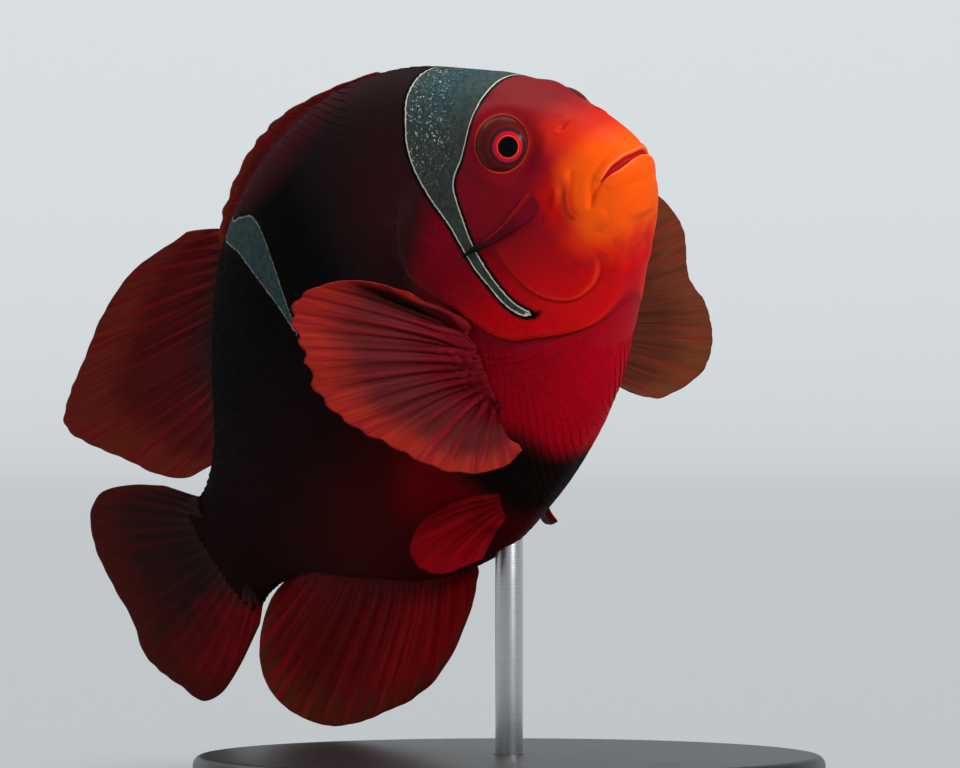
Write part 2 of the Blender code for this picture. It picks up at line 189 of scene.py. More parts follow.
def solid(name, points, quads, triangles=()):
    """A piece from arrays of points and faces."""
    mesh = bpy.data.meshes.new(name)
    quads = np.asarray(quads, np.int32).reshape(-1, 4)
    triangles = np.asarray(triangles, np.int32).reshape(-1, 3)
    corners = np.concatenate([quads.ravel(), triangles.ravel()])
    sizes = np.concatenate([np.full(len(quads), 4), np.full(len(triangles), 3)])
    mesh.vertices.add(len(points))
    mesh.vertices.foreach_set("co", np.asarray(points, np.float32).ravel())
    mesh.loops.add(len(corners))
    mesh.loops.foreach_set("vertex_index", corners)
    mesh.polygons.add(len(sizes))
    mesh.polygons.foreach_set("loop_start", np.concatenate([[0], np.cumsum(sizes)[:-1]]))
    mesh.polygons.foreach_set("use_smooth", np.ones(len(sizes), bool))
    mesh.update(calc_edges=True)
    piece = bpy.data.objects.new(name, mesh)
    bpy.context.scene.collection.objects.link(piece)
    return piece


def patch(rows, columns, ring=False):
    """Quads over a grid of points; a ring's last column joins its first."""
    r, c = np.mgrid[0:rows - 1, 0:columns if ring else columns - 1]
    here, across = r * columns + c, r * columns + (c + 1) % columns
    return np.stack([here, here + columns, across + columns, across], axis=-1).reshape(-1, 4)


def xyz(x, y, z):
    """Points from three arrays or numbers, spread to one shape."""
    return np.stack(np.broadcast_arrays(x, y, z), axis=-1)


def closed_tube(name, points, columns, flipped=False):
    """A piece from rings of points, closed at its ends by the last two points."""
    rows = (len(points) - 2) // columns
    first = np.arange(columns)
    following = (first + 1) % columns
    last = (rows - 1) * columns
    tip = rows * columns
    quads = patch(rows, columns, ring=True)
    caps = np.vstack([xyz(first, following, tip), xyz(last + following, last + first, tip + 1)])
    if flipped:
        quads, caps = quads[:, ::-1], caps[:, ::-1]
    return solid(name, points, quads, caps)


def turned(node, profile):
    """A piece turned on a lathe to a profile of radii and heights, in place of a CAD node."""
    radii, heights = np.array(profile).T[..., None]
    around = 2 * math.pi * np.arange(TURNED_SIDES) / TURNED_SIDES
    rings = xyz(radii * np.cos(around), radii * np.sin(around), heights).reshape(-1, 3)
    points = np.vstack([rings, (0, 0, profile[0][1]), (0, 0, profile[-1][1])])
    piece = closed_tube(node.replace("stand", "turned"), points, TURNED_SIDES, flipped=True)
    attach(piece, "root")
    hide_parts(node)
    return piece


def rounded_edge(radius, height, bevel, top):
    """Radii and heights round a turned edge, from below upwards."""
    turn = np.linspace(0, math.pi / 2, 6) if top else np.linspace(-math.pi / 2, 0, 6)
    middle = height - bevel if top else height + bevel
    return [(radius - bevel + bevel * math.cos(a), middle + bevel * math.sin(a)) for a in turn]


base_profile = [(BASE_FLAT_RADIUS, BASE_LOW[2])]
base_profile += rounded_edge(BASE_RADIUS, BASE_LOW[2], BASE_BEVEL, False)
base_profile += rounded_edge(BASE_RADIUS, BASE_HEIGHT, BASE_BEVEL, True)
base_profile += [(BASE_FLAT_RADIUS, BASE_HEIGHT), (2 * BASE_HOLE_RADIUS, BASE_HEIGHT),
                 (1.02 * BASE_HOLE_RADIUS, BASE_HEIGHT), (BASE_HOLE_RADIUS, 0.998 * BASE_HEIGHT),
                 (BASE_HOLE_RADIUS, BASE_HEIGHT - BASE_HOLE_DEPTH)]
base = turned("stand_base", base_profile)
base.data.materials.append(lacquer())

# ---------------------------------------------------------------------------------------------
# Stand rod: a length of ground stainless steel, glued into the base and into the belly.
# It carries the fish, and grinding leaves fine rings round it.
STEEL = (0.50, 0.50, 0.51, 1)
STEEL_SCRATCHED = (0.62, 0.62, 0.63, 1)
RINGS_PER_METRE = 5200.0
ROD_LOW, ROD_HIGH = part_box("stand_rod")
ROD_RADIUS = (ROD_HIGH[0] - ROD_LOW[0]) / 2
ROD_BEVEL = 0.0002


def ground_steel():
    made, shader, start = new_finish("ground_steel", Metallic=1.0)
    along = start.node("TexCoord", out="Object").parts()[2]
    rings = start.node("CombineXYZ", {}, {2: along * RINGS_PER_METRE})
    scratches = start.noise(1.0, 2.0, 0.6, rings)
    smears = start.noise(140.0, 3.0)
    colour = scratches.rise(0.3, 0.75).over(STEEL, STEEL_SCRATCHED)
    feed(shader, {"Base Color": colour, "Roughness": 0.22 + smears * 0.16,
                  "Normal": relieved(start, scratches, 0.000015)})
    return made


rod = turned("stand_rod", rounded_edge(ROD_RADIUS, ROD_LOW[2], ROD_BEVEL, False)
             + rounded_edge(ROD_RADIUS, ROD_HIGH[2], ROD_BEVEL, True))
rod.data.materials.append(ground_steel())

# ---------------------------------------------------------------------------------------------
# Skin: one scaleless hide over head, jaws, gill covers, trunk and tail stalk, cast over a solid
# core.  It holds the mouth, lips, nostrils, eye sockets and the edges of the cheek plates, and
# lies below the outer shape by the thickness of the scales.
STANDARD_LENGTH = 0.112
MILLIMETRE = 0.001
NOSE_UP = math.radians(27.3)
LEAN_RIGHT = math.radians(22.0)
SNOUT_OVER_BASE = 0.665 * STANDARD_LENGTH
ROD_STATION = 0.54
STATIONS = (0.0, 0.02, 0.06, 0.11, 0.17, 0.24, 0.33, 0.44, 0.56, 0.68, 0.79, 0.88, 0.96, 1.0)
BACK = (-0.005, 0.048, 0.112, 0.168, 0.213, 0.257, 0.290, 0.302, 0.291, 0.252, 0.183, 0.113,
        0.077, 0.075)
BELLY = (-0.005, -0.036, -0.067, -0.094, -0.128, -0.167, -0.198, -0.219, -0.223, -0.192, -0.134,
         -0.084, -0.068, -0.073)
WIDTH_STATIONS = (0.0, 0.02, 0.05, 0.09, 0.14, 0.22, 0.32, 0.45, 0.60, 0.75, 0.88, 1.0)
HALF_WIDTH = (0.0, 0.034, 0.052, 0.068, 0.080, 0.092, 0.099, 0.096, 0.080, 0.052, 0.028, 0.013)
SECTION_POWER = 2.2
SWAY = 0.033
SWAY_START = 0.20
SCALE_DEPTH = 0.12
SKIN_RINGS = 280
SKIN_RING_POINTS = 320
EYE_RING = (0.104, 0.099)
EYE_RING_RADIUS = 0.0305
EYE_RING_SUNK = 0.0030
EYE_RING_REACH = 1.85
SOCKET_RIM_HEIGHT = 0.16
SOCKET_RIM_RADIUS = 1.05
SOCKET_RIM_WIDTH = 0.06
SOCKET_DEEP = 1.6
EYE_RING_FACES = (0.505, 0.856, 0.111)

# Marks and folds, as (station, height) lines on the flank
GILL_EDGE = ((0.235, 0.128), (0.275, 0.115), (0.300, 0.085), (0.308, 0.052), (0.298, 0.029),
             (0.287, 0.008), (0.276, -0.014), (0.268, -0.036), (0.257, -0.058), (0.243, -0.074),
             (0.220, -0.087), (0.190, -0.104), (0.160, -0.112), (0.128, -0.104), (0.104, -0.092))
CHEEK_PLATE_EDGE = ((0.176, 0.034), (0.181, 0.012), (0.181, -0.018), (0.179, -0.042), (0.170, -0.064),
                    (0.155, -0.079), (0.138, -0.083), (0.118, -0.079), (0.100, -0.068), (0.090, -0.052))
UPPER_LIP_FOLD = ((0.003, 0.017), (0.014, 0.016), (0.034, 0.006), (0.046, -0.006), (0.052, -0.020))
CHEEK_FOLD = ((0.046, 0.029), (0.060, 0.017), (0.071, 0.004), (0.077, -0.010), (0.073, -0.026))
SMALL_RIDGE = ((0.070, 0.024), (0.076, 0.014), (0.088, 0.006), (0.108, 0.004))
MOUTH_LINE = ((-0.004, 0.001), (0.002, 0.002), (0.009, 0.001), (0.018, 0.000), (0.033, -0.004))
MOUTH_CREASE = ((0.028, -0.002), (0.036, -0.005), (0.050, -0.012), (0.058, -0.020))
LOWER_LIP_FOLD = ((0.004, -0.022), (0.020, -0.024), (0.040, -0.028), (0.054, -0.030))
CHIN_FOLD = ((0.036, -0.050), (0.050, -0.060), (0.064, -0.069), (0.083, -0.079), (0.104, -0.090))
NOSTRIL = (0.042, 0.073)
NOSTRIL_DEEP = 0.55
NOSTRIL_RADIUS = 0.28
NOSTRIL_RIM_RADIUS = 0.55
NOSTRIL_RIM_HEIGHT = 0.12
NOSTRIL_RIM_WIDTH = 0.20
SLIT_DEEP = 0.85
LIP_HEIGHT = 0.10

# Relief in millimetres: a plate's rim with its height and run, and the hollow behind it with its
# drop and run; then folds with their height, or depth below nothing, and their width.
GILL_RIM = (0.36, 2.6, 0.42, 1.2)
PLATE_EDGES = ((CHEEK_PLATE_EDGE, 0.20, 1.4, 0.16, 0.8), (CHEEK_FOLD, -0.34, 0.7, -0.42, 1.0))
CREASES = ((SMALL_RIDGE, 0.30, 0.40), (UPPER_LIP_FOLD, -0.22, 0.40), (LOWER_LIP_FOLD, -0.16, 0.60),
           (MOUTH_CREASE, -0.35, 0.30), (CHIN_FOLD, -0.50, 0.36))

# Outlines of the two grey bars, as (station, height)
HEAD_BAR = ((0.107, 0.300), (0.107, 0.200), (0.107, 0.170), (0.110, 0.161), (0.115, 0.156),
            (0.120, 0.150), (0.126, 0.143), (0.133, 0.134), (0.144, 0.123), (0.158, 0.1135),
            (0.174, 0.1055), (0.184, 0.095), (0.190, 0.078), (0.196, 0.058), (0.201, 0.042),
            (0.206, 0.015), (0.208, -0.020), (0.2065, -0.042), (0.203, -0.054), (0.1985, -0.065),
            (0.207, -0.0625), (0.2135, -0.053), (0.218, -0.038), (0.219, -0.012), (0.220, 0.014),
            (0.218, 0.042), (0.216, 0.069), (0.220, 0.104), (0.222, 0.140), (0.219, 0.170),
            (0.212, 0.194), (0.208, 0.216), (0.202, 0.236), (0.200, 0.300))
FLANK_BAR = ((0.620, 0.350), (0.600, 0.276), (0.566, 0.262), (0.535, 0.251), (0.522, 0.237),
             (0.517, 0.218), (0.518, 0.197), (0.522, 0.173), (0.535, 0.128), (0.552, 0.075),
             (0.547, 0.099), (0.550, 0.141), (0.565, 0.185), (0.587, 0.228), (0.615, 0.252),
             (0.628, 0.266), (0.650, 0.350))


def cubic_curve(stations, values):
    """Cubic through the values, with the slope at each station set by its neighbours."""
    x = np.array(stations, float)
    v = np.array(values, float)
    slope = np.gradient(v, x, axis=0)

    def curve(s):
        s = np.asarray(s, float)
        k = np.clip(np.searchsorted(x, s) - 1, 0, len(x) - 2)
        step = x[k + 1] - x[k]
        t = np.clip((s - x[k]) / step, 0.0, 1.0)
        if v.ndim > 1:
            step, t = step[..., None], t[..., None]
        start = (1 + 2 * t) * (1 - t) ** 2 * v[k] + t * (1 - t) ** 2 * step * slope[k]
        end = t * t * (3 - 2 * t) * v[k + 1] - t * t * (1 - t) * step * slope[k + 1]
        return start + end

    return curve


def blunt_curve(stations, values):
    """Smooth curve in the root of the station, so that the snout comes out round."""
    rooted = cubic_curve(np.sqrt(stations), values)
    return lambda s: rooted(np.sqrt(np.maximum(s, 0.0)))


back_line = blunt_curve(STATIONS, BACK)
belly_line = blunt_curve(STATIONS, BELLY)
half_width = blunt_curve(WIDTH_STATIONS, HALF_WIDTH)


def sway(s):
    """How far the midline is bent to the fish's left."""
    return SWAY * np.maximum(np.asarray(s, float) - SWAY_START, 0.0) ** 2


def at(s, y, z):
    """Points in the fish's own frame, in metres: snout at the origin, x forwards, y left."""
    return xyz(-np.asarray(s, float), y, z) * STANDARD_LENGTH


def unit(vectors):
    """The vectors made one long."""
    return vectors / (np.linalg.norm(vectors, axis=-1)[..., None] + 1e-12)


pose = Matrix.Rotation(-NOSE_UP, 4, "Y") @ Matrix.Rotation(LEAN_RIGHT, 4, "X")
TURN = np.array(pose.to_3x3())
over_rod = TURN @ at(ROD_STATION, sway(ROD_STATION), belly_line(ROD_STATION))
SNOUT = np.array((-over_rod[0], -over_rod[1], BASE_HEIGHT + SNOUT_OVER_BASE))


def placed(points):
    """From the fish's own frame to the stand's."""
    return np.asarray(points) @ TURN.T + SNOUT


def smoothly(value, low, high):
    """0 at low, 1 at high, with a soft step between; high may be the lower one."""
    t = np.clip((value - low) / (high - low), 0.0, 1.0)
    return t * t * (3 - 2 * t)


def middle_and_depth(s):
    """Height of the body's middle at a station, and half its depth there."""
    return (back_line(s) + belly_line(s)) / 2, (back_line(s) - belly_line(s)) / 2


def flesh(s, angle):
    """The body's outer shape: angle 0 is the middle of the left flank, a quarter turn the back."""
    middle, half_depth = middle_and_depth(s)
    across, height = (np.sign(v) * np.abs(v) ** (2 / SECTION_POWER) for v in (np.cos(angle), np.sin(angle)))
    return at(s, sway(s) + half_width(s) * across, middle + half_depth * height)


def finer(line, closed=False, count=12):
    """A smooth run of points through a few."""
    points = np.array(line, float)
    if closed:
        points = np.vstack([points, points[:1]])
    return cubic_curve(range(len(points)), points)(np.linspace(0, len(points) - 1, len(points) * count))


def off_line(s, z, line):
    """Distance in millimetres from a line, positive behind or below it, and the share along it."""
    a, b = line[:-1], line[1:]
    best = np.full(np.shape(s), 1e9)
    side_of, share = np.zeros(np.shape(s)), np.zeros(np.shape(s))
    for k in range(len(a)):
        run = b[k] - a[k]
        size = run @ run
        if size == 0:
            continue
        t = np.clip(((s - a[k, 0]) * run[0] + (z - a[k, 1]) * run[1]) / size, 0, 1)
        ds, dz = s - a[k, 0] - t * run[0], z - a[k, 1] - t * run[1]
        gap = ds * ds + dz * dz
        near = gap < best
        best = np.where(near, gap, best)
        side_of = np.where(near, np.sign(run[0] * dz - run[1] * ds), side_of)
        share = np.where(near, (k + t) / len(a), share)
    return np.sqrt(best) * side_of * STANDARD_LENGTH / MILLIMETRE, share


def off_curve(s, z, line, count=12):
    """The same from a smooth run through a line's points."""
    return off_line(s, z, finer(line, count=count))


def inside_by(s, z, outline):
    """Distance in millimetres inside a closed outline, negative outside it."""
    ring = finer(outline, closed=True, count=5)
    distance = np.abs(off_line(s, z, ring)[0])
    within = np.zeros(np.shape(s), bool)
    for (s0, z0), (s1, z1) in zip(ring, np.roll(ring, -1, axis=0)):
        if z0 != z1:
            crosses = (z0 > z) != (z1 > z)
            within ^= crosses & (s < s0 + (z - z0) * (s1 - s0) / (z1 - z0))
    return np.where(within, distance, -distance)


def side(s, z):
    """Half width of the body at this station and height."""
    middle, half_depth = middle_and_depth(s)
    share = np.minimum(np.abs((z - middle) / half_depth), 1.0)
    return half_width(s) * np.sqrt(1 - share ** SECTION_POWER)


def plate_edge(d, share, height, run, drop, hollow):
    """Relief of a plate's rear edge: a rim that swells towards it and a hollow behind it."""
    ends = smoothly(share, 0.0, 0.16) * smoothly(share, 1.0, 0.75)
    behind = smoothly(d, -0.16, 0.16)
    near = np.abs(d)
    return ends * ((1 - behind) * height * np.exp(-near / run) - behind * drop * np.exp(-near / hollow))


def crease(d, share, height, width):
    """Relief of a fold that fades out at both ends."""
    ends = smoothly(share, 0.0, 0.2) * smoothly(share, 1.0, 0.8)
    return height * ends * np.exp(-(d / width) ** 2)


def gape(share):
    """Half the height of the slit between the lips, in millimetres."""
    return 0.10 + 0.34 * smoothly(share, 1.0, 0.55) * smoothly(share, -0.1, 0.35)


def mouth(s, z):
    """The slit between the lips, and the rounding of the lips beside it."""
    d, share = off_curve(s, z, MOUTH_LINE)
    ends = smoothly(share, 1.0, 0.92)
    slit = SLIT_DEEP * ends * np.exp(-(d / gape(share)) ** 4)
    return LIP_HEIGHT * ends * np.exp(-((np.abs(d) - 1.0) / 0.5) ** 2) - slit


def relief(s, z):
    """How far folds and plates stand above the smooth body, in millimetres."""
    d, share = off_curve(s, z, GILL_EDGE)
    raised = plate_edge(d, share, *GILL_RIM) * smoothly(share, 0.95, 0.66) + mouth(s, z)
    for line, *sizes in PLATE_EDGES:
        raised = raised + plate_edge(*off_curve(s, z, line), *sizes)
    for line, *sizes in CREASES:
        raised = raised + crease(*off_curve(s, z, line), *sizes)
    from_nostril = np.hypot(s - NOSTRIL[0], z - NOSTRIL[1]) * STANDARD_LENGTH / MILLIMETRE
    raised = raised - NOSTRIL_DEEP * np.exp(-(from_nostril / NOSTRIL_RADIUS) ** 2)
    off_nostril_rim = (from_nostril - NOSTRIL_RIM_RADIUS) / NOSTRIL_RIM_WIDTH
    return raised + NOSTRIL_RIM_HEIGHT * np.exp(-off_nostril_rim ** 2)


def scaled(s, z):
    """1 where the skin is covered in scales, 0 on the bare snout and jaws."""
    front = 0.178 - 0.35 * np.maximum(z - 0.05, 0.0)
    return smoothly(s - front, -0.008, 0.022)


def eye_ring(outwards):
    """Middle and facing of the eye socket's rim; outwards is -1 on the right, 1 on the left."""
    s, z = EYE_RING
    facing = np.array(EYE_RING_FACES) * (1, outwards, 1)
    depth = side(s, z) - EYE_RING_SUNK
    return at(s, outwards * depth, z), unit(facing)


def around_eye(points, outwards):
    """Height over the rim's plane and distance from its axis, in radii of the rim."""
    middle, facing = eye_ring(outwards)
    height = (points - middle) @ facing
    radial = np.linalg.norm(points - middle - height[..., None] * facing, axis=-1)
    return height, radial / (EYE_RING_RADIUS * STANDARD_LENGTH)


def socketed(points):
    """Draws the skin to each eye's rim, and into the socket inside it."""
    for outwards in (-1, 1):
        facing = eye_ring(outwards)[1]
        height, radial = around_eye(points, outwards)
        near = np.abs(height) < 0.05 * STANDARD_LENGTH
        rim = SOCKET_RIM_HEIGHT * np.exp(-((radial - SOCKET_RIM_RADIUS) / SOCKET_RIM_WIDTH) ** 2)
        rim = rim - SOCKET_DEEP * smoothly(radial, 1.0, 0.82)
        drawn = smoothly(radial, EYE_RING_REACH, 1.02) * near
        points = points + facing * ((rim * MILLIMETRE - height) * drawn)[..., None]
    return points


def skin_at(s, angle):
    """The skin's surface, in the fish's own frame."""
    root = np.sqrt(s)
    step = 1e-3
    along = flesh((root + step) ** 2, angle) - flesh((root - step) ** 2, angle)
    round_it = flesh(s, angle + step) - flesh(s, angle - step)
    normal = unit(np.cross(along, round_it))
    outer = flesh(s, angle)
    z = outer[..., 2] / STANDARD_LENGTH
    raised = relief(s, z) - SCALE_DEPTH * scaled(s, z)
    return socketed(outer + normal * raised[..., None] * MILLIMETRE)


def tag(piece, name, values):
    """Keeps three numbers, or one, at every point of a piece, for its material to read."""
    values = np.asarray(values, np.float32)
    kind, field = ("FLOAT_VECTOR", "vector") if values.ndim > 1 else ("FLOAT", "value")
    piece.data.attributes.new(name, kind, "POINT").data.foreach_set(field, values.ravel())


def mark_places(piece, points):
    """Tags each point's place on the flank, and how far it is, in millimetres, inside the head
    bar and the flank bar and behind the gill edge.  Gives back the stations and heights."""
    place = points * (-1, 1, 1) / STANDARD_LENGTH
    place[:, 1] -= sway(place[:, 0])
    tag(piece, "place", place)
    s, z = place[:, 0], place[:, 2]
    behind_gill = off_curve(s, z, GILL_EDGE)[0]
    tag(piece, "marks", xyz(inside_by(s, z, HEAD_BAR), inside_by(s, z, FLANK_BAR), behind_gill))
    return s, z


def off_rim(points, outwards):
    """Distance in millimetres from the rim of this eye's socket."""
    height, radial = around_eye(points, outwards)
    away = np.abs(radial - 1.03) * EYE_RING_RADIUS * STANDARD_LENGTH / MILLIMETRE
    return np.where(np.abs(height) < 3 * MILLIMETRE, away, 9.0)


def make_skin():
    """Rings of points from the snout to the root of the tail fin, closer together on the snout."""
    s = (np.arange(1, SKIN_RINGS + 1) / SKIN_RINGS)[:, None] ** 2
    angle = 2 * math.pi * np.arange(SKIN_RING_POINTS)[None, :] / SKIN_RING_POINTS
    s, angle = np.broadcast_arrays(s, angle)
    points = skin_at(s, angle)
    ends = [points[0].mean(axis=0), points[-1].mean(axis=0)]
    every = np.vstack([points.reshape(-1, 3), ends])
    piece = closed_tube("skin", placed(every), SKIN_RING_POINTS)
    s, z = mark_places(piece, np.vstack([flesh(s, angle).reshape(-1, 3), ends]))
    d, share = off_curve(s, z, MOUTH_LINE)
    tag(piece, "lips", np.where(share < 0.98, np.abs(d) / gape(share), 9.0))
    folds = [off_curve(s, z, line) for line in (CHEEK_PLATE_EDGE, GILL_EDGE, CHEEK_FOLD)]
    tag(piece, "folds", xyz(*(d for d, share in folds)))
    tag(piece, "folded", xyz(*(smoothly(share, 0.05, 0.40) * smoothly(share, 1.0, 0.80)
                               for d, share in folds)))
    tag(piece, "rim", np.minimum(off_rim(every, -1), off_rim(every, 1)))
    return piece


skin = make_skin()
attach(skin, "root")
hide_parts("head", "lower_jaw", "gill_cover_left", "gill_cover_right", "trunk", "tail_stalk")

# Colours of the hide, front to back
ORANGE_SNOUT = (0.80, 0.082, 0.003, 1)
ORANGE_RED = (0.66, 0.020, 0.003, 1)
BRIGHT_RED = (0.50, 0.003, 0.004, 1)
CHEEK_CRIMSON = (0.20, 0.003, 0.010, 1)
CHEST_CRIMSON = (0.17, 0.0015, 0.008, 1)
CHEST_LOW = (0.36, 0.0015, 0.009, 1)
FLANK_RED = (0.056, 0.0014, 0.0016, 1)
FLANK_LOW_RED = (0.150, 0.0010, 0.0030, 1)
FLANK_MAROON = (0.0105, 0.0017, 0.0020, 1)
BACK_BLACK = (0.0024, 0.0018, 0.0020, 1)
# Painted sheen: a lighter grey laid on the upper back where light glances off it
BACK_PAINTED_SHEEN = (0.018, 0.009, 0.010, 1)
BACK_RED = (0.038, 0.0052, 0.0060, 1)
SHOULDER_BLACK = (0.0100, 0.0070, 0.0076, 1)
SHOULDER_MAROON = (0.036, 0.0078, 0.0086, 1)
DUSKY_BROW = (0.17, 0.012, 0.010, 1)
BELLY_BLACK = (0.0075, 0.0040, 0.0035, 1)
BAR_GREY = (0.046, 0.055, 0.049, 1)
BAR_BLUE = (0.030, 0.078, 0.088, 1)
BAR_SPARK = (0.42, 0.50, 0.46, 1)
BAR_EDGE = (0.78, 0.74, 0.58, 1)
BLACK_EDGING = (0.0035, 0.0030, 0.0030, 1)
MOUTH_RED = (0.42, 0.007, 0.012, 1)
LIP_PALE = (0.86, 0.16, 0.035, 1)
RIM_ORANGE = (0.42, 0.040, 0.012, 1)
FOLD_LIT = (0.80, 0.030, 0.006, 1)
FOLD_SHADE = (0.13, 0.0020, 0.0040, 1)

# Light and shade along the folds: which fold, from and to how far off it, softness, strength, colour
FOLD_BANDS = ((0, -0.42, -0.02, 0.22, 0.65, FOLD_LIT), (0, 0.05, 0.30, 0.14, 0.45, FOLD_SHADE),
              (1, -0.34, -0.04, 0.18, 0.32, FOLD_LIT), (1, 0.02, 0.36, 0.14, 0.80, FOLD_SHADE),
              (2, -0.16, 0.30, 0.20, 0.80, FOLD_SHADE), (2, -0.95, -0.30, 0.30, 0.50, FOLD_LIT))


def hide_colour(start):
    """The fish's colours and markings, from each point's place on the body."""
    s, z = start.attribute("place").parts()[::2]
    in_head_bar, in_flank_bar, behind_gill = start.attribute("marks").parts()
    cloud = start.noise(160.0, 4.0, 0.55) - 0.5
    fine = start.noise(1500.0, 3.0, 0.6) - 0.5
    mottle = start.noise(480.0, 2.0, 0.45).rise(0.42, 0.72)
    s = s + cloud * 0.022
    z = z + cloud * 0.020

    def spot(at_s, at_z, long, deep, soft):
        """1 inside a soft-edged oval on the flank."""
        off = (((s - at_s) / long) ** 2.0 + ((z - at_z) / deep) ** 2.0) ** 0.5
        return off.rise(1 + soft, 1 - soft)

    below_shoulder = (s + z * 1.6).rise(0.425, 0.325)
    chest = below_shoulder * s.rise(0.385, 0.325)
    chest_patch = s.rise(0.315, 0.365) * s.rise(0.485, 0.430) * (z - s * 0.2).rise(-0.185, -0.230)
    before_gill = behind_gill.rise(0.4, -0.4) * (s + z * 0.15).rise(0.34, 0.30)
    head = before_gill * below_shoulder.most(s.rise(0.215, 0.185))
    brow = (z - s * 1.05).rise(0.020, 0.060) * s.rise(0.20, 0.13)
    dusky = spot(0.095, -0.055, 0.050, 0.035, 0.5) + spot(0.070, 0.085, 0.042, 0.036, 0.5)
    colour = layered(
        z.rise(0.16, -0.02).over(BACK_BLACK, FLANK_MAROON),
        (z.rise(0.02, -0.13) * s.rise(0.98, 0.62), FLANK_RED),
        (z.rise(0.00, 0.08) * s.rise(0.46, 0.36), SHOULDER_BLACK),
        # painted sheen on the upper back
        (z.rise(0.16, 0.27) * s.rise(0.44, 0.26), BACK_PAINTED_SHEEN),
        (spot(0.27, 0.10, 0.085, 0.10, 0.8), SHOULDER_MAROON),
        (spot(0.45, 0.292, 0.17, 0.038, 0.5), BACK_RED),
        (spot(0.50, -0.135, 0.085, 0.045, 0.6) * 0.85, FLANK_LOW_RED),
        (chest, CHEST_CRIMSON),
        (chest * z.rise(-0.02, -0.16), CHEST_LOW),
        (chest_patch, BELLY_BLACK),
        (head, CHEEK_CRIMSON),
        (head * z.rise(0.035, -0.075), BRIGHT_RED),
        (spot(0.036, 0.020, 0.048, 0.075, 0.40) * 0.75, ORANGE_RED),
        (spot(0.052, -0.036, 0.050, 0.056, 0.35), ORANGE_RED),
        (spot(0.094, 0.052, 0.034, 0.032, 0.6), CHEEK_CRIMSON),
        (spot(0.079, 0.007, 0.024, 0.029, 0.7), BRIGHT_RED),
        (spot(0.025, -0.014, 0.047, 0.056, 0.38), ORANGE_SNOUT),
        (spot(0.054, -0.036, 0.030, 0.026, 0.5) * 0.75, ORANGE_SNOUT),
        (brow * 0.70, DUSKY_BROW),
        (mottle * dusky * 0.38, CHEEK_CRIMSON),
        (spot(0.1950, -0.0700, 0.0075, 0.0030, 0.6), BLACK_EDGING),
        (spot(0.886, 0.112, 0.012, 0.009, 0.4) * 0.8, BAR_BLUE))

    # Two grey bars with cream borders and black edging, the head's with a blue nape
    sparks = start.noise(3200.0, 1.0, 0.5).rise(0.60, 0.74)
    nape = z.rise(0.13, 0.23) * s.rise(0.225, 0.15)
    for inside, blue, spark_from, border in ((in_head_bar, nape, 0.10, 0.80),
                                             (in_flank_bar, z.rise(0.0, 0.1) * 0.5, 0.30, 0.24)):
        inside = inside + fine * 0.25
        grey = blue.over(BAR_GREY, BAR_BLUE)
        grey = (fine + 0.5).rise(0.25, 0.8).over(grey.times(0.6), grey.times(1.2))
        sparkling = sparks * z.rise(spark_from, spark_from + 0.06) * s.rise(0.14, 0.18)
        colour = layered(colour,
                         (inside.rise(-0.75, -0.30), BLACK_EDGING),
                         (inside.rise(-0.10, 0.05), sparkling.over(grey, BAR_SPARK)),
                         (inside.band(-0.02, 0.15, 0.05) * (border + fine), BAR_EDGE))
    return colour


def hide_finish():
    made, shader, start = new_finish("painted_hide", Coat_Weight=0.02, Coat_Roughness=0.25,
                                     Specular_IOR_Level=0.03)
    colour = hide_colour(start)
    off = start.attribute("folds").parts()
    shown = start.attribute("folded").parts()
    for which, low, high, soft, strength, paint in FOLD_BANDS:
        colour = (off[which].band(low, high, soft) * shown[which] * strength).over(colour, paint)
    rim = start.attribute("rim").parts()[0]
    lips = start.attribute("lips").parts()[0]
    colour = layered(colour, (rim.rise(0.20, 0.08), RIM_ORANGE), (lips.band(1.15, 1.75, 0.25), LIP_PALE),
                     (lips.rise(1.15, 0.85), MOUTH_RED))
    pores = start.noise(2600.0, 3.0, 0.6)
    lumps = relieved(start, start.noise(420.0, 3.0), 0.00010, 0.6)
    feed(shader, {"Base Color": colour, "Roughness": 0.46 + pores * 0.18,
                  "Normal": relieved(start, pores, 0.00004, 0.7, lumps)})
    return made


skin.data.materials.append(hide_finish())

# ---------------------------------------------------------------------------------------------
# Scales: thin overlapping plates set in staggered rows over the skin, each with its root sunk
# and its rounded rear edge standing on the next.  They are small on the head and the tail stalk.
SCALE_ACROSS = 1.25
SCALE_COLUMN = 0.72
SCALE_THICK = 0.05
SCALE_ROOT_SUNK = 0.08
SCALE_EDGE_RAISED = 0.090
SCALE_DOME = 0.014
SCALE_HALF_WIDTH = 0.57
SCALE_COLUMNS_LONG = 3.0
SCALE_MOST_STRETCHED = 2.2
SCALE_UNEVEN = 0.06
SCALE_LIFT_UNEVEN = 0.012
SMALLER_IS_THINNER = 1.6
FRONT_FLATTER = 0.60
SHARP_EDGE = math.radians(50)
UNWRAP_PATCH = 0.003
UNWRAP_ROW = 0.012
ROOT_STEP = 0.004
FIRST_COLUMN = 0.055
ROWS_EACH_WAY = 60
GILL_BARE = (-2.1, 0.4)
CHEEK_BARE = (-20, 0.25)
SPINE_BARE = 0.75
PECTORAL_BARE = 1.1
EYE_BARE = 1.22
OUTWARDS = {"right": -1, "left": 1}
SPINE_BED = ((0.085, 0.030), (0.120, 0.0225), (0.150, 0.021), (0.175, 0.0235), (0.222, 0.031))
PECTORAL_TOP = (0.280, -0.026)
PECTORAL_BOTTOM = (0.328, -0.112)
SCALE_PIECES = (("head", 0.0, 0.26), ("shoulder", 0.26, 0.44), ("flank", 0.44, 0.66), ("tail", 0.66, 1.1))


def scale_size(s):
    """Share of the full-size scale at this station."""
    return 0.56 + 0.44 * smoothly(s, 0.13, 0.30) - 0.25 * smoothly(s, 0.70, 1.0)


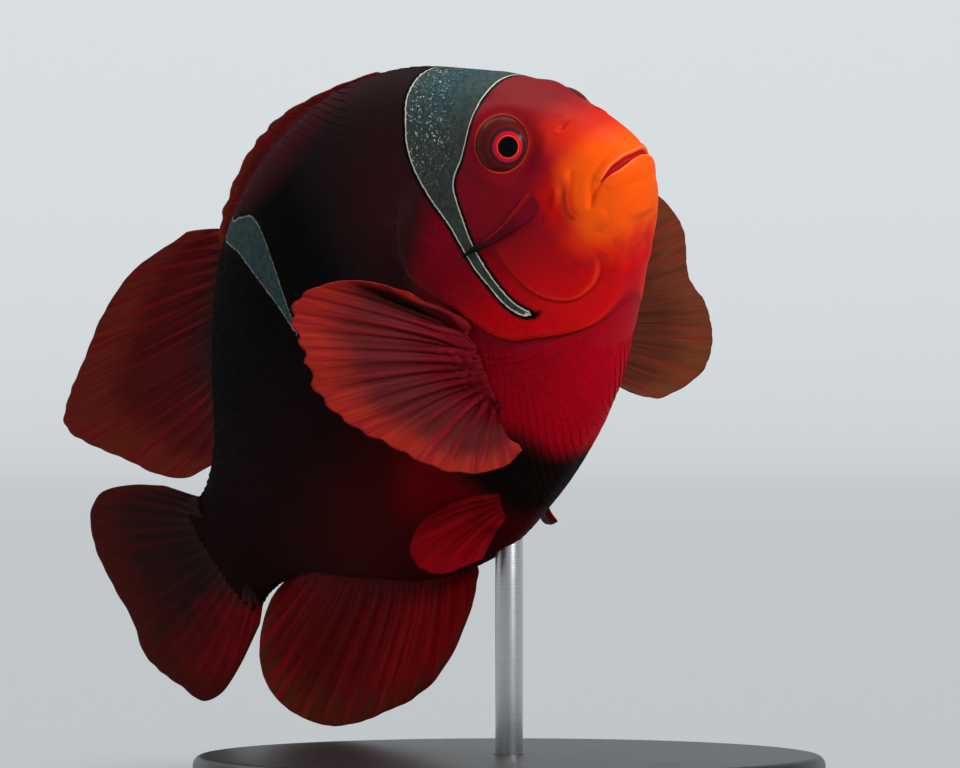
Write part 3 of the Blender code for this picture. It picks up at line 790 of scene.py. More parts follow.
def on_ring(s, outwards, share):
    """Angle of the point that is this many scales above the middle of the flank, for each share."""
    turn = np.linspace(-math.pi / 2, math.pi / 2, 241)
    steps = np.linalg.norm(np.diff(flesh(s, turn), axis=0), axis=1) / MILLIMETRE
    arc = np.concatenate([[0], np.cumsum(steps)])
    arc -= arc[len(turn) // 2]
    found = np.interp(share * SCALE_ACROSS * scale_size(s), arc, turn, left=np.nan, right=np.nan)
    return found if outwards > 0 else math.pi - found


def bare_places(s, z, outwards):
    """True where no scale grows: snout, eye, spine, plate edges and the roots of paired fins."""
    gill, along = off_curve(s, z, GILL_EDGE, 4)
    bare = (gill > GILL_BARE[0]) & (gill < GILL_BARE[1]) & (along > -0.02) & (along < 0.97)
    cheek, along = off_curve(s, z, CHEEK_PLATE_EDGE, 4)
    on_cheek = (cheek > CHEEK_BARE[0]) & (cheek < CHEEK_BARE[1]) & (s < 0.19)
    bare |= on_cheek & (along > 0.02) & (along < 0.98)
    bare |= np.abs(off_curve(s, z, SPINE_BED, 3)[0]) < SPINE_BARE
    bare |= np.abs(off_curve(s, z, (PECTORAL_TOP, PECTORAL_BOTTOM), 3)[0]) < PECTORAL_BARE
    mirrored = at(s, outwards * side(s, z) + sway(s), z)
    return bare | (around_eye(mirrored, outwards)[1] < EYE_BARE)


def scale_roots(outwards, random):
    """Stations and angles of every scale's root on one flank, with its neighbours' for its lie."""
    found = []
    s = FIRST_COLUMN
    column = 0
    while s < 1.0:
        share = np.arange(-ROWS_EACH_WAY, ROWS_EACH_WAY + 1) + 0.5 * (column % 2)
        turn, ahead = on_ring(s, outwards, share), on_ring(s + ROOT_STEP, outwards, share)
        keep = ~np.isnan(turn)
        ahead = np.where(np.isnan(ahead), turn, ahead)
        found.append(np.stack([np.full(keep.sum(), s), turn[keep], ahead[keep], share[keep]], axis=-1))
        s += SCALE_COLUMN * scale_size(s) * MILLIMETRE / STANDARD_LENGTH
        column += 1
    found = np.concatenate(found)
    z = flesh(found[:, 0], found[:, 1])[:, 2] / STANDARD_LENGTH
    cover = scaled(found[:, 0], z) > random.uniform(0.25, 0.75, len(found))
    return found[cover & ~bare_places(found[:, 0], z, outwards)]


def scale_template():
    """Places across and along a scale on its upper face, and its faces with the underside."""
    along = np.array((0.0, 0.35, 0.70, 1.0))
    width = np.array((0.62, 0.92, 1.0, 0.86))
    across = np.linspace(-1, 1, 5)
    x = (width[:, None] * across[None, :]).ravel()
    y = (along[:, None] * (1 - 0.30 * across[None, :] ** 2 * along[:, None])).ravel()
    upper = patch(4, 5)[:, ::-1]
    edge = [0, 1, 2, 3, 4, 9, 14, 19, 18, 17, 16, 15, 10, 5]
    under = 20 + np.arange(14)
    after = np.roll(np.arange(14), -1)
    rim = np.stack([np.array(edge), under, under[after], np.array(edge)[after]], axis=-1)
    base = np.stack([np.full(12, under[0]), under[2:], under[1:-1]], axis=-1)
    return x, y, edge, np.concatenate([upper, rim]), base


def make_scales(name, roots, random):
    """One piece of the coat: a closed plate for each root, lying along its column's run."""
    s, turn, ahead, share = roots.T
    root = skin_at(s, turn)
    along = skin_at(s + ROOT_STEP, ahead) - root
    stretch = np.linalg.norm(along, axis=-1) / (ROOT_STEP * STANDARD_LENGTH)
    along = unit(along)
    across = skin_at(s, turn + 0.02) - skin_at(s, turn - 0.02)
    across = unit(across - along * np.sum(across * along, axis=-1)[:, None])
    normal = np.cross(along, across)
    outward = flesh(s, turn) - at(s, sway(s), flesh(s, turn)[:, 2] / STANDARD_LENGTH * 0.5)
    normal *= np.sign(np.sum(normal * outward, axis=-1))[:, None]
    handed = np.sign(np.sum(np.cross(across, along) * normal, axis=-1))[0]
    size = scale_size(s) * random.uniform(1 - SCALE_UNEVEN, 1 + SCALE_UNEVEN, len(s))
    x, y, edge, quads, triangles = scale_template()
    lift = -SCALE_ROOT_SUNK + (SCALE_ROOT_SUNK + SCALE_EDGE_RAISED) * y + SCALE_DOME * (1 - x * x)
    lift = lift[None, :] + random.normal(0, SCALE_LIFT_UNEVEN, len(s))[:, None] * y[None, :]
    lift = np.concatenate([lift, lift[:, edge] - SCALE_THICK], axis=1)
    x, y = np.concatenate([x, x[edge]]), np.concatenate([y, y[edge]])
    x_all = x * (SCALE_HALF_WIDTH * SCALE_ACROSS * size)[:, None]
    length = SCALE_COLUMNS_LONG * SCALE_COLUMN * size * np.clip(stretch, 1.0, SCALE_MOST_STRETCHED)
    y_all = y * length[:, None]
    faint = 1 - FRONT_FLATTER * smoothly(s, 0.56, 0.34)
    up_all = lift * (scale_size(s) ** SMALLER_IS_THINNER * faint)[:, None]
    points = root[:, None] + (across[:, None] * x_all[..., None] + along[:, None] * y_all[..., None]
                              + normal[:, None] * up_all[..., None]) * MILLIMETRE
    first = np.arange(len(s))[:, None, None] * len(x)
    quads, triangles = (quads[None] + first).reshape(-1, 4), (triangles[None] + first).reshape(-1, 3)
    if handed < 0:
        quads, triangles = quads[:, ::-1], triangles[:, ::-1]
    points = points.reshape(-1, 3)
    piece = solid(name, placed(points), quads, triangles)
    piece.data.set_sharp_from_angle(angle=SHARP_EDGE)
    mark_places(piece, points)
    tag(piece, "grain", xyz(x, y, random.uniform(0, 1, len(s))[:, None]).reshape(-1, 3))
    unwrap = np.stack([0.02 + 0.96 * s, 0.5 + UNWRAP_ROW * share * scale_size(s)], axis=-1)
    spread = np.stack([y_all, x_all], axis=-1) / (2 * SCALE_COLUMN * 1.5)
    uv = (unwrap[:, None] + UNWRAP_PATCH * 0.5 * spread).reshape(-1, 2)
    layer = piece.data.uv_layers.new(name="OFBake")
    corners = np.empty(len(piece.data.loops), np.int32)
    piece.data.loops.foreach_get("vertex_index", corners)
    layer.data.foreach_set("uv", uv[corners].astype(np.float32).ravel())
    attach(piece, "root")
    return piece


def scale_finish():
    made, shader, start = new_finish("painted_scales", Specular_IOR_Level=0.008)
    across, along, chance = start.attribute("grain").parts()
    margin = along.rise(0.72, 1.0)
    colour = hide_colour(start).times(0.93 + chance * 0.14)
    colour = (margin * 0.10).over(colour, colour.times(0.60))
    rings = (along * 40.0 + across * across * 9.0).math("SINE")
    bump = relieved(start, rings, 0.000012, 0.6)
    feed(shader, {"Base Color": colour, "Roughness": 0.42 + chance * 0.12 + margin * 0.08, "Normal": bump})
    return made


scale_paint = scale_finish()
for hand, outwards in OUTWARDS.items():
    random = np.random.default_rng(31 + outwards)
    roots = scale_roots(outwards, random)
    for part, low, high in SCALE_PIECES:
        chosen = roots[(roots[:, 0] >= low) & (roots[:, 0] < high)]
        make_scales(f"scales_{hand}_{part}", chosen, random).data.materials.append(scale_paint)


# ---------------------------------------------------------------------------------------------
# Eyes: glass balls in the museum's way, painted inside with the iris and pupil, each set in its
# socket so that it looks forwards past the cheek.
EYE_BALL_RADIUS = 0.032
EYE_BALL_FLATTENED = 0.66
EYE_LOOKS = (0.690, 0.675, -0.250)
PUPIL_RADIUS = 0.0120
IRIS_RADIUS = 0.0180
EYE_RINGS = 90
EYE_RING_POINTS = 96
EYE_OUTER = (0.135, 0.007, 0.006, 1)
EYE_SMOKE = (0.080, 0.006, 0.006, 1)
EYE_BLUE = (0.026, 0.010, 0.018, 1)
IRIS_RED = (0.52, 0.005, 0.012, 1)
IRIS_PINK = (0.42, 0.005, 0.018, 1)
IRIS_BRIGHT = (0.86, 0.050, 0.020, 1)
PUPIL_BLACK = (0.0015, 0.0015, 0.0020, 1)


def make_eye(hand, outwards):
    """A flattened ball whose poles lie on the line of sight, sunk so that it fills its socket."""
    middle, facing = eye_ring(outwards)
    sunk = math.sqrt(EYE_BALL_RADIUS ** 2 - EYE_RING_RADIUS ** 2) * STANDARD_LENGTH * EYE_BALL_FLATTENED
    looks = Vector(EYE_LOOKS) * Vector((1, outwards, 1))
    turn = np.array(looks.to_track_quat("Z", "Y").to_matrix())
    polar = np.linspace(0.02, math.pi - 0.02, EYE_RINGS)[:, None]
    round_it = np.linspace(0, 2 * math.pi, EYE_RING_POINTS, endpoint=False)
    ball = xyz(np.sin(polar) * np.cos(round_it), np.sin(polar) * np.sin(round_it), np.cos(polar))
    ball = np.vstack([ball.reshape(-1, 3), (0, 0, 1), (0, 0, -1)]) @ turn.T
    ball *= EYE_BALL_RADIUS * STANDARD_LENGTH
    ball -= facing * ((ball @ facing) * (1 - EYE_BALL_FLATTENED))[:, None]
    piece = closed_tube("eye_ball_" + hand, placed(middle - facing * sunk + ball), EYE_RING_POINTS)
    angle = np.concatenate([np.repeat(polar.ravel(), EYE_RING_POINTS), (0, math.pi)])
    tag(piece, "gaze", angle * EYE_BALL_RADIUS)
    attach(piece, "root")
    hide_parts("eye_" + hand)
    return piece


def eye_finish():
    made, shader, start = new_finish("painted_eye", Coat_Weight=0.03, Coat_Roughness=0.03, Coat_IOR=1.36,
                                     Specular_IOR_Level=0.03)
    gaze = start.attribute("gaze").parts()[0]
    fleck = start.noise(2600.0, 3.0, 0.6) - 0.5
    across = gaze + (start.noise(500.0, 2.0) - 0.5) * 0.0016
    iris = (fleck + 0.5).rise(0.3, 0.75).over(IRIS_PINK, IRIS_RED)
    iris = across.rise(0.0138, 0.0126).over(iris, IRIS_BRIGHT)
    colour = layered(across.rise(0.0215, 0.0290).over(EYE_OUTER, EYE_SMOKE),
                     (across.band(0.0185, 0.0232, 0.0014), EYE_BLUE),
                     (across.rise(IRIS_RADIUS + 0.0006, IRIS_RADIUS - 0.0010), iris),
                     (across.rise(PUPIL_RADIUS + 0.0005, PUPIL_RADIUS - 0.0004), PUPIL_BLACK))
    feed(shader, {"Base Color": colour, "Roughness": 0.30 + fleck * 0.1})
    return made


eye_paint = eye_finish()
for hand, outwards in OUTWARDS.items():
    make_eye(hand, outwards).data.materials.append(eye_paint)

# ---------------------------------------------------------------------------------------------
# Cheek spines: the bony dagger under each eye that gives the fish its name, dark at the point.
SPINE_LINE = ((0.085, 0.0300), (0.100, 0.0265), (0.120, 0.0225), (0.150, 0.0210), (0.175, 0.0235),
              (0.200, 0.0280), (0.223, 0.0310))
SPINE_HALF_DEPTH = (0.0090, 0.0130, 0.0108, 0.0070, 0.0048, 0.0036, 0.0010)
SPINE_HALF_THICK = (0.0026, 0.0036, 0.0040, 0.0038, 0.0034, 0.0028, 0.0012)
SPINE_RINGS = 60
SPINE_RING_POINTS = 24
SPINE_CRIMSON = (0.14, 0.0014, 0.0090, 1)
SPINE_MAROON = (0.080, 0.0018, 0.0075, 1)
SPINE_STREAK = (0.060, 0.010, 0.010, 1)
# Painted highlight: a light red for the spine's upper side
SPINE_PAINTED_HIGHLIGHT = (0.42, 0.008, 0.004, 1)
SPINE_POINT = (0.0060, 0.0040, 0.0040, 1)


def make_spine(hand, outwards):
    """A fluted, flattened dagger along its line, with its front end sunk in the cheek."""
    stations, heights = np.array(SPINE_LINE).T
    share = np.linspace(0, 1, SPINE_RINGS)
    s = stations[0] + (stations[-1] - stations[0]) * share
    z, deep, thick = (cubic_curve(stations, sizes)(s)
                      for sizes in (heights, SPINE_HALF_DEPTH, SPINE_HALF_THICK))
    sunk = thick * (1 - 2.3 * smoothly(share, 0.36, 0.0))
    lift = np.maximum.reduce([side(s, z), side(s, z - deep), side(s, z + deep)]) + sunk
    angle = 2 * math.pi * np.arange(SPINE_RING_POINTS) / SPINE_RING_POINTS
    s, z, deep, thick, lift = (v[:, None] for v in (s, z, deep, thick, lift))
    fluted = 1 - 0.10 * np.cos(4 * angle) * (1 - share[:, None])
    y = sway(s) + outwards * (lift + thick * np.cos(angle) * fluted)
    points = at(s, y, z + deep * np.sin(angle) * fluted)
    every = np.vstack([points.reshape(-1, 3), points[0].mean(axis=0), points[-1].mean(axis=0)])
    piece = closed_tube("spine_" + hand, placed(every), SPINE_RING_POINTS, flipped=outwards < 0)
    along = np.concatenate([np.repeat(share, SPINE_RING_POINTS), (0, 1)])
    upper = np.concatenate([np.tile(np.sin(angle), SPINE_RINGS), (0, 0)])
    tag(piece, "along", xyz(along, upper, 0.0))
    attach(piece, "root")
    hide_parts("cheek_spine_" + hand)
    return piece


def spine_finish():
    made, shader, start = new_finish("stained_bone", Coat_Weight=0.01, Coat_Roughness=0.2,
                                     Specular_IOR_Level=0.04)
    along, upper = start.attribute("along").parts()[:2]
    streak = start.noise(900.0, 3.0, 0.6)
    colour = layered(along.rise(0.15, 0.55).over(SPINE_CRIMSON, SPINE_MAROON),
                     (streak.rise(0.5, 0.75) * 0.30, SPINE_STREAK),
                     # painted highlight along the upper side of the spine, short of its point
                     (upper.rise(0.25, 0.85) * along.rise(0.80, 0.55) * 0.75, SPINE_PAINTED_HIGHLIGHT),
                     (along.rise(0.62, 0.82), SPINE_POINT))
    feed(shader, {"Base Color": colour, "Roughness": 0.30 + streak * 0.2,
                  "Normal": relieved(start, streak, 0.00003)})
    return made


bone = spine_finish()
for hand, outwards in OUTWARDS.items():
    make_spine(hand, outwards).data.materials.append(bone)

# ---------------------------------------------------------------------------------------------
# Fins: cast in tinted resin, each a web stretched over bony rays that fork towards the margin.
FIN_SAMPLES = 14
FIN_STEPS = 40
WEB_HALF = 0.10
RAY_HALF = 0.26
RAY_TIP_HALF = 0.07
MARGIN_HALF = 0.02
RAY_WAVER = 0.16
RAYS_ON_EDGE = 0.4
WEB_AT_ROOT = 0.25

# Tints of the resins: fleshy root, web, rays, margin, and a dark used for fine streaks and as painted shade
# in the fold valleys
RESINS = {
    "dorsal": ((0.018, 0.0042, 0.0040, 1), (0.094, 0.0048, 0.0042, 1), (0.17, 0.0040, 0.0075, 1),
               (0.160, 0.0180, 0.0085, 1), (0.040, 0.004, 0.0036, 1)),
    "anal": ((0.080, 0.0018, 0.0022, 1), (0.112, 0.0018, 0.0019, 1), (0.28, 0.0010, 0.0045, 1),
             (0.090, 0.0165, 0.0046, 1), (0.060, 0.0022, 0.0018, 1)),
    "caudal": ((0.0115, 0.0036, 0.0034, 1), (0.026, 0.0032, 0.0028, 1), (0.055, 0.0024, 0.0026, 1),
               (0.064, 0.0048, 0.0022, 1), (0.015, 0.0028, 0.0024, 1)),
    "pectoral": ((0.115, 0.0028, 0.0075, 1), (0.092, 0.0105, 0.0115, 1), (0.165, 0.0065, 0.0100, 1),
                 (0.260, 0.0150, 0.0080, 1), (0.022, 0.0040, 0.0030, 1)),
    # The far pectoral's tints are a darker, browner copy of the near one's, as painted shade for the far side
    "shaded_far_pectoral": ((0.075, 0.0150, 0.0075, 1), (0.070, 0.0150, 0.0075, 1), (0.140, 0.0160, 0.0090, 1),
                     (0.105, 0.0300, 0.0110, 1), (0.038, 0.0110, 0.0060, 1)),
    "pelvic": ((0.120, 0.0010, 0.0035, 1), (0.155, 0.0009, 0.0035, 1), (0.22, 0.0012, 0.0050, 1),
               (0.165, 0.0018, 0.0040, 1), (0.070, 0.0008, 0.0016, 1)),
}
ANAL_BLUSH = (0.34, 0.0006, 0.0040, 1)
CAUDAL_BLUSH = (0.19, 0.0010, 0.0032, 1)


def facing_of(grid):
    """Directions square to a grid of points."""
    return unit(np.cross(np.gradient(grid, axis=1), np.gradient(grid, axis=0)))


def ridges(x, t, fork):
    """How much of a ray is at this place between rays: 1 on its crest, 0 in the web."""
    off = x - np.floor(x) - 0.5
    first = 0.25 * smoothly(t, fork, 1.15)
    second = 0.10 * smoothly(t, fork + 0.28, 1.10)
    width = 0.17 - 0.08 * smoothly(t, fork - 0.2, 0.95)
    found = np.zeros_like(off)
    for a in (-1, 1):
        for b in (-1, 1):
            found = np.maximum(found, np.exp(-((off - a * first - b * second) / width) ** 2))
    return found


def folded_web(spread, rays, seed, bow=(0, 0, 0), scallop=0.004, pleat=0.16, waves=(), folds=(),
               wrinkled=0.0):
    """The middle of a fin's thickness, as a grid of points over the rays and along them, in the
    fish's own frame.  Gives back its points; the ray, the share across the fin and the share of
    the ray's length at each; and how deep the folds are."""
    share = np.linspace(0, 1, rays * FIN_SAMPLES + 1)
    x = share * rays + RAY_WAVER * np.sin(5.0 * share * math.pi + seed) * (4 * share * (1 - share))
    t = np.linspace(0, 1, FIN_STEPS + 1) ** 0.9
    ray_middles = np.arange(rays + 2) - 0.5
    roots, tips = spread(share)
    random = np.random.default_rng(seed)

    # Rays of uneven length, with notches between them and a ragged margin
    uneven = np.interp(x, ray_middles, random.uniform(-1, 1, rays + 2))
    notch = (0.5 + 0.5 * np.cos(2 * math.pi * x)) ** 1.5
    ragged = np.convolve(random.normal(0, 1, len(share) + 4), np.ones(5) / 5, "valid")
    longer = scallop * (0.25 * uneven + 0.35 * ragged - notch)
    share, t, x = np.broadcast_arrays(share[:, None], t[None, :], x[:, None])
    run = (tips - roots)[:, None] * (t * (1 + longer[:, None] * t ** 3))[..., None]
    grid = roots[:, None] + run + np.asarray(bow) * (4 * t * (1 - t))[..., None]

    # Pleats between the rays, slow waves, gathers at the root and a few deep folds
    gentle = smoothly(t, 0.0, 0.25)
    strength = np.interp(x[:, 0], ray_middles, random.uniform(0.45, 1.3, rays + 2))[:, None]
    fold = -pleat * strength * np.cos(2 * math.pi * x) * gentle * (1 - 0.65 * t ** 2)
    for count, height, phase in waves:
        fold = fold + height * np.sin(2 * math.pi * (count * share + phase)) * gentle
    gathers = smoothly(t, 0.0, 0.06) * np.exp(-((t - 0.13) / 0.09) ** 2) * np.sin(math.pi * share)
    fold = fold + wrinkled * gathers * np.sin(90 * t + 9 * np.sin(7 * share) + 1.5 * strength)
    deep = np.zeros_like(fold)
    for middle, width, height in folds:
        deep = deep + height * np.exp(-((share - middle) / width) ** 2)
    deep = deep * smoothly(t, 0.0, 0.12) * smoothly(t, 1.15, 0.55)
    return grid + facing_of(grid) * ((fold + deep) * MILLIMETRE)[..., None], x, share, t, deep


def make_fin(name, node, spread, rays, seed, fork=0.42, base_half=0.85, base_run=0.16, bony=1.0, **web):
    """A fin from spread(share), which gives the root and the tip of the ray there.  Rays fork at a
    share of their length.  The fleshy base, pleats, waves as (count, height, phase) and folds as
    (middle, width, height) are in millimetres; bow is in metres."""
    grid, x, share, t, deep = folded_web(spread, rays, seed, **web)
    ridge = ridges(x, t, fork) * (WEB_AT_ROOT + (1 - WEB_AT_ROOT) * smoothly(t, 0.02, 0.22))
    edge = smoothly(np.minimum(share, 1 - share) * rays, 0.0, 0.5)
    ray = bony * (RAY_HALF + (RAY_TIP_HALF - RAY_HALF) * t) * ridge
    half = (WEB_HALF + ray * (RAYS_ON_EDGE + (1 - RAYS_ON_EDGE) * edge)) * smoothly(t, 1.04, 0.90)
    base = base_half * np.exp(-(t / base_run) ** 2) * (WEB_AT_ROOT + (1 - WEB_AT_ROOT) * edge)
    thick = facing_of(grid) * ((half + MARGIN_HALF + base) * MILLIMETRE)[..., None]
    rows, columns = t.shape
    other = rows * columns
    upper = patch(rows, columns)
    rim = np.concatenate([np.arange(rows) * columns, (rows - 1) * columns + np.arange(1, columns),
                          np.arange(rows - 2, -1, -1) * columns + columns - 1, np.arange(columns - 2, 0, -1)])
    after = np.roll(rim, -1)
    edges = np.stack([rim, after, other + after, other + rim], axis=-1)
    both = np.stack([grid + thick, grid - thick]).reshape(-1, 3)
    piece = solid(name, placed(both), np.concatenate([upper[:, ::-1], upper + other, edges]))
    tag(piece, "ray", np.tile(xyz(x, t, ridge).reshape(-1, 3), (2, 1)))
    tag(piece, "deep", np.tile(deep.ravel(), 2))
    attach(piece, "root")
    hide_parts(node)
    return piece


def fin_finish(name, root_end, margin_from, blush=(0, 40), blushed=None):
    """Tinted resin, with the shares of a ray where the fleshy root ends and the margin begins.
    The blush is a last colour over the rays from one number to the other."""
    root, web, rays, margin, dark = RESINS[name]
    made, shader, start = new_finish(name + "_resin", Specular_IOR_Level=0.02)
    x, t, ridge = start.attribute("ray").parts()
    deep = start.attribute("deep").parts()[0]
    cloud = start.noise(260.0, 4.0, 0.6) - 0.5
    threads = start.noise(1.0, 4.0, 0.65, start.node("CombineXYZ", {}, {0: x * 11.0, 1: t * 2.2}))
    long_streaks = start.noise(1.0, 2.0, 0.5, start.node("CombineXYZ", {}, {0: x * 1.7, 1: t * 0.8, 2: 3.0}))
    reach = t + cloud * 0.22
    colour = layered(reach.rise(root_end - 0.16, root_end + 0.16).over(root, web),
                     (reach.rise(margin_from - 0.16, margin_from + 0.14), margin),
                     (ridge * long_streaks.rise(0.35, 0.62), rays),
                     (threads.rise(0.50, 0.72) * 0.75, dark))
    colour = colour.times(0.70 + long_streaks * 0.6)
    if blushed:
        strands = 0.35 + threads.rise(0.60, 0.42) * 0.65
        along = reach.rise(0.98, 0.70) * reach.rise(0.10, 0.30)
        colour = ((x + cloud * 6.0).rise(*blush) * along * strands).over(colour, blushed)
    margin_thread = tuple(1.5 * part for part in margin[:3]) + (1,)
    in_margin = reach.rise(margin_from - 0.1, margin_from + 0.1)
    colour = layered(colour, (threads.rise(0.48, 0.30) * in_margin * 0.6, margin_thread),
                     # painted shade: the dark tint laid into the deepest fold valleys
                     (deep.rise(-0.15, -1.1) * 0.85, dark))
    joints = (t * 230.0).math("SINE") * ridge
    bump = relieved(start, threads + joints * 0.25, 0.00005, 0.8)
    feed(shader, {"Base Color": colour, "Roughness": 0.46 + threads * 0.16, "Normal": bump})
    return made


def tip_curves(table):
    """The two measures of a fin's tip at each share of the way across it."""
    share, first, second = np.array(table).T
    return cubic_curve(share, first), cubic_curve(share, second)


def on_midline(root, line, table, buried):
    """Spread of a fin that stands on the back or belly line, its root buried in the body."""
    tip_s, tip_z = tip_curves(table)

    def spread(share):
        s = root[0] + (root[1] - root[0]) * share
        return (at(s, sway(s), line(s) - math.copysign(buried, table[-1][2])),
                at(tip_s(share), sway(tip_s(share)), tip_z(share)))
    return spread


# Dorsal fin: ten short spines with a low web along the back, then a high lobe of soft rays.
SPINY_DORSAL_ROOT = (0.258, 0.645)
SPINY_DORSAL_TIPS = ((0.0, 0.280, 0.2780), (0.2, 0.365, 0.304), (0.4, 0.450, 0.322), (0.6, 0.535, 0.322),
                     (0.8, 0.612, 0.303), (0.92, 0.655, 0.287), (1.0, 0.682, 0.266))
SOFT_DORSAL_ROOT = (0.632, 0.868)
SOFT_DORSAL_TIPS = ((0.0, 0.715, 0.311), (0.12, 0.835, 0.327), (0.24, 0.945, 0.318), (0.36, 1.025, 0.298),
                    (0.48, 1.092, 0.279), (0.56, 1.128, 0.262), (0.62, 1.128, 0.243), (0.70, 1.107, 0.214),
                    (0.80, 1.063, 0.170), (0.88, 1.023, 0.130), (0.94, 0.977, 0.101), (1.0, 0.915, 0.088))
spiny_dorsal = make_fin("dorsal_spines", "dorsal_fin_spiny",
                        on_midline(SPINY_DORSAL_ROOT, back_line, SPINY_DORSAL_TIPS, 0.006), 10, 11,
                        fork=2.0, scallop=0.07, base_half=0.75, base_run=0.30, pleat=0.10)
soft_dorsal = make_fin("dorsal_lobe", "dorsal_fin_soft",
                       on_midline(SOFT_DORSAL_ROOT, back_line, SOFT_DORSAL_TIPS, 0.008), 17, 12,
                       bow=(0, 0.010 * STANDARD_LENGTH, 0), waves=[(2.2, 0.35, 0.1)], bony=0.7)
dorsal_paint = fin_finish("dorsal", 0.20, 0.72)
spiny_dorsal.data.materials.append(dorsal_paint)
soft_dorsal.data.materials.append(dorsal_paint)

# Anal fin: two spines and fourteen soft rays under the belly.
ANAL_ROOT = (0.606, 0.902)
ANAL_TIPS = ((0.0, 0.625, -0.226), (0.05, 0.680, -0.255), (0.12, 0.765, -0.279), (0.2, 0.835, -0.281),
             (0.3, 0.897, -0.270), (0.4, 0.962, -0.256), (0.48, 1.012, -0.237), (0.56, 1.045, -0.212),
             (0.64, 1.066, -0.183), (0.72, 1.071, -0.151), (0.80, 1.057, -0.121), (0.88, 1.024, -0.095),
             (0.94, 0.987, -0.080), (1.0, 0.938, -0.074))
anal = make_fin("anal", "anal_fin", on_midline(ANAL_ROOT, belly_line, ANAL_TIPS, 0.008), 16, 13,
                bow=(0, 0.006 * STANDARD_LENGTH, 0), scallop=0.003, waves=[(1.8, 0.3, 0.4)], bony=0.7)
anal.data.materials.append(fin_finish("anal", 0.10, 0.84, (10, 3), ANAL_BLUSH))

# Tail fin: a rounded fan from the end of the tail stalk.
CAUDAL_TIPS = ((0.0, 1.030, 0.118), (0.07, 1.090, 0.148), (0.14, 1.155, 0.170), (0.2, 1.197, 0.167),
               (0.3, 1.236, 0.132), (0.4, 1.244, 0.080), (0.5, 1.240, 0.028), (0.6, 1.248, -0.014),
               (0.68, 1.234, -0.045), (0.76, 1.212, -0.077), (0.84, 1.190, -0.110), (0.90, 1.147, -0.117),
               (0.95, 1.090, -0.107), (1.0, 1.020, -0.088))
CAUDAL_ROOT = 0.975
CAUDAL_WAVE = 0.012


def caudal_spread(share):
    tip_s, tip_z = tip_curves(CAUDAL_TIPS)
    top, bottom = back_line(CAUDAL_ROOT) - 0.006, belly_line(CAUDAL_ROOT) + 0.006
    root = at(np.full_like(share, CAUDAL_ROOT), sway(CAUDAL_ROOT), top + (bottom - top) * share)
    wave = CAUDAL_WAVE * np.sin(2 * math.pi * share)
    return root, at(tip_s(share), sway(tip_s(share)) + wave, tip_z(share))


caudal = make_fin("caudal", "caudal_fin", caudal_spread, 17, 14, fork=0.35, scallop=0.003,
                  base_half=1.15, base_run=0.20, pleat=0.05, bony=0.35)
caudal.data.materials.append(fin_finish("caudal", 0.48, 0.80, (9, 15), CAUDAL_BLUSH))

# Paired fins: the pectorals fan out from behind the gill covers, spread and deeply pleated; the
# pelvics hang below them.  Reach is away from the body, along is down the line of the root.
PECTORAL_TIPS = {
    "right": ((0.0, 0.043, -0.114), (0.06, 0.072, -0.137), (0.12, 0.104, -0.154), (0.18, 0.134, -0.161),
              (0.24, 0.157, -0.156), (0.30, 0.173, -0.139), (0.37, 0.177, -0.112), (0.44, 0.178, -0.087),
              (0.50, 0.180, -0.060), (0.57, 0.172, -0.027), (0.64, 0.154, 0.005), (0.71, 0.129, 0.036),
              (0.78, 0.104, 0.069), (0.85, 0.078, 0.097), (0.91, 0.047, 0.115), (0.96, 0.016, 0.121),
              (1.0, -0.010, 0.112)),
    "left": ((0.0, 0.120, -0.118), (0.1, 0.159, -0.107), (0.16, 0.176, -0.093), (0.22, 0.189, -0.073),
             (0.28, 0.194, -0.052), (0.34, 0.196, -0.027), (0.42, 0.203, 0.000), (0.5, 0.217, 0.021),
             (0.58, 0.225, 0.043), (0.65, 0.226, 0.065), (0.72, 0.216, 0.086), (0.79, 0.195, 0.105),
             (0.86, 0.156, 0.115), (0.93, 0.108, 0.116), (1.0, 0.054, 0.101)),
}
PECTORAL_FOLDS = {
    "right": ((0.03, 0.045, 0.7), (0.125, 0.060, -1.5), (0.25, 0.035, 0.35), (0.33, 0.030, -0.45),
              (0.52, 0.035, -0.35), (0.68, 0.030, -0.45), (0.84, 0.030, -0.30)),
    "left": ((0.5, 0.06, -0.6), (0.75, 0.04, 0.4)),
}
PECTORAL_SWING = {"right": math.radians(55), "left": math.radians(80)}
PECTORAL_BOW = 0.010
PECTORAL_RAGGED = {"right": 0.022, "left": 0.008}
PELVIC_FRONT = (0.436, -0.178)
PELVIC_REAR = (0.474, -0.200)
PELVIC_TIPS = ((0.0, 0.040, -0.038), (0.2, 0.082, -0.044), (0.4, 0.117, -0.033), (0.6, 0.127, -0.010),
               (0.8, 0.108, 0.016), (1.0, 0.064, 0.033))
PELVIC_SWING = math.radians(22)
PELVIC_LEAN = 0.30
PELVIC_BOW = 0.004
PAIRED_ROOT_BURIED = 0.004


def on_flank(outwards, front, rear, fan_axis, table, swing, bow):
    """Spread and bow of a paired fin: a fan in the plane of its axis and a direction swung out."""
    tip_out, tip_along = tip_curves(table)

    def spread(share):
        s = front[0] + (rear[0] - front[0]) * share
        z = front[1] + (rear[1] - front[1]) * share
        roots = at(s, sway(s) + outwards * (side(s, z) - PAIRED_ROOT_BURIED), z)
        steps = reach * tip_out(share)[:, None] + axis * tip_along(share)[:, None]
        return roots, middle + steps * STANDARD_LENGTH

    ends = [at(s, sway(s) + outwards * (side(s, z) + PAIRED_ROOT_BURIED), z) for s, z in (front, rear)]
    middle = (ends[0] + ends[1]) / 2
    axis = unit(ends[1] - ends[0] if fan_axis is None else np.array(fan_axis))
    reach = np.array((-math.cos(swing), outwards * math.sin(swing), 0.0))
    reach = unit(reach - (reach @ axis) * axis)
    return spread, np.cross(reach, axis) * outwards * bow * STANDARD_LENGTH
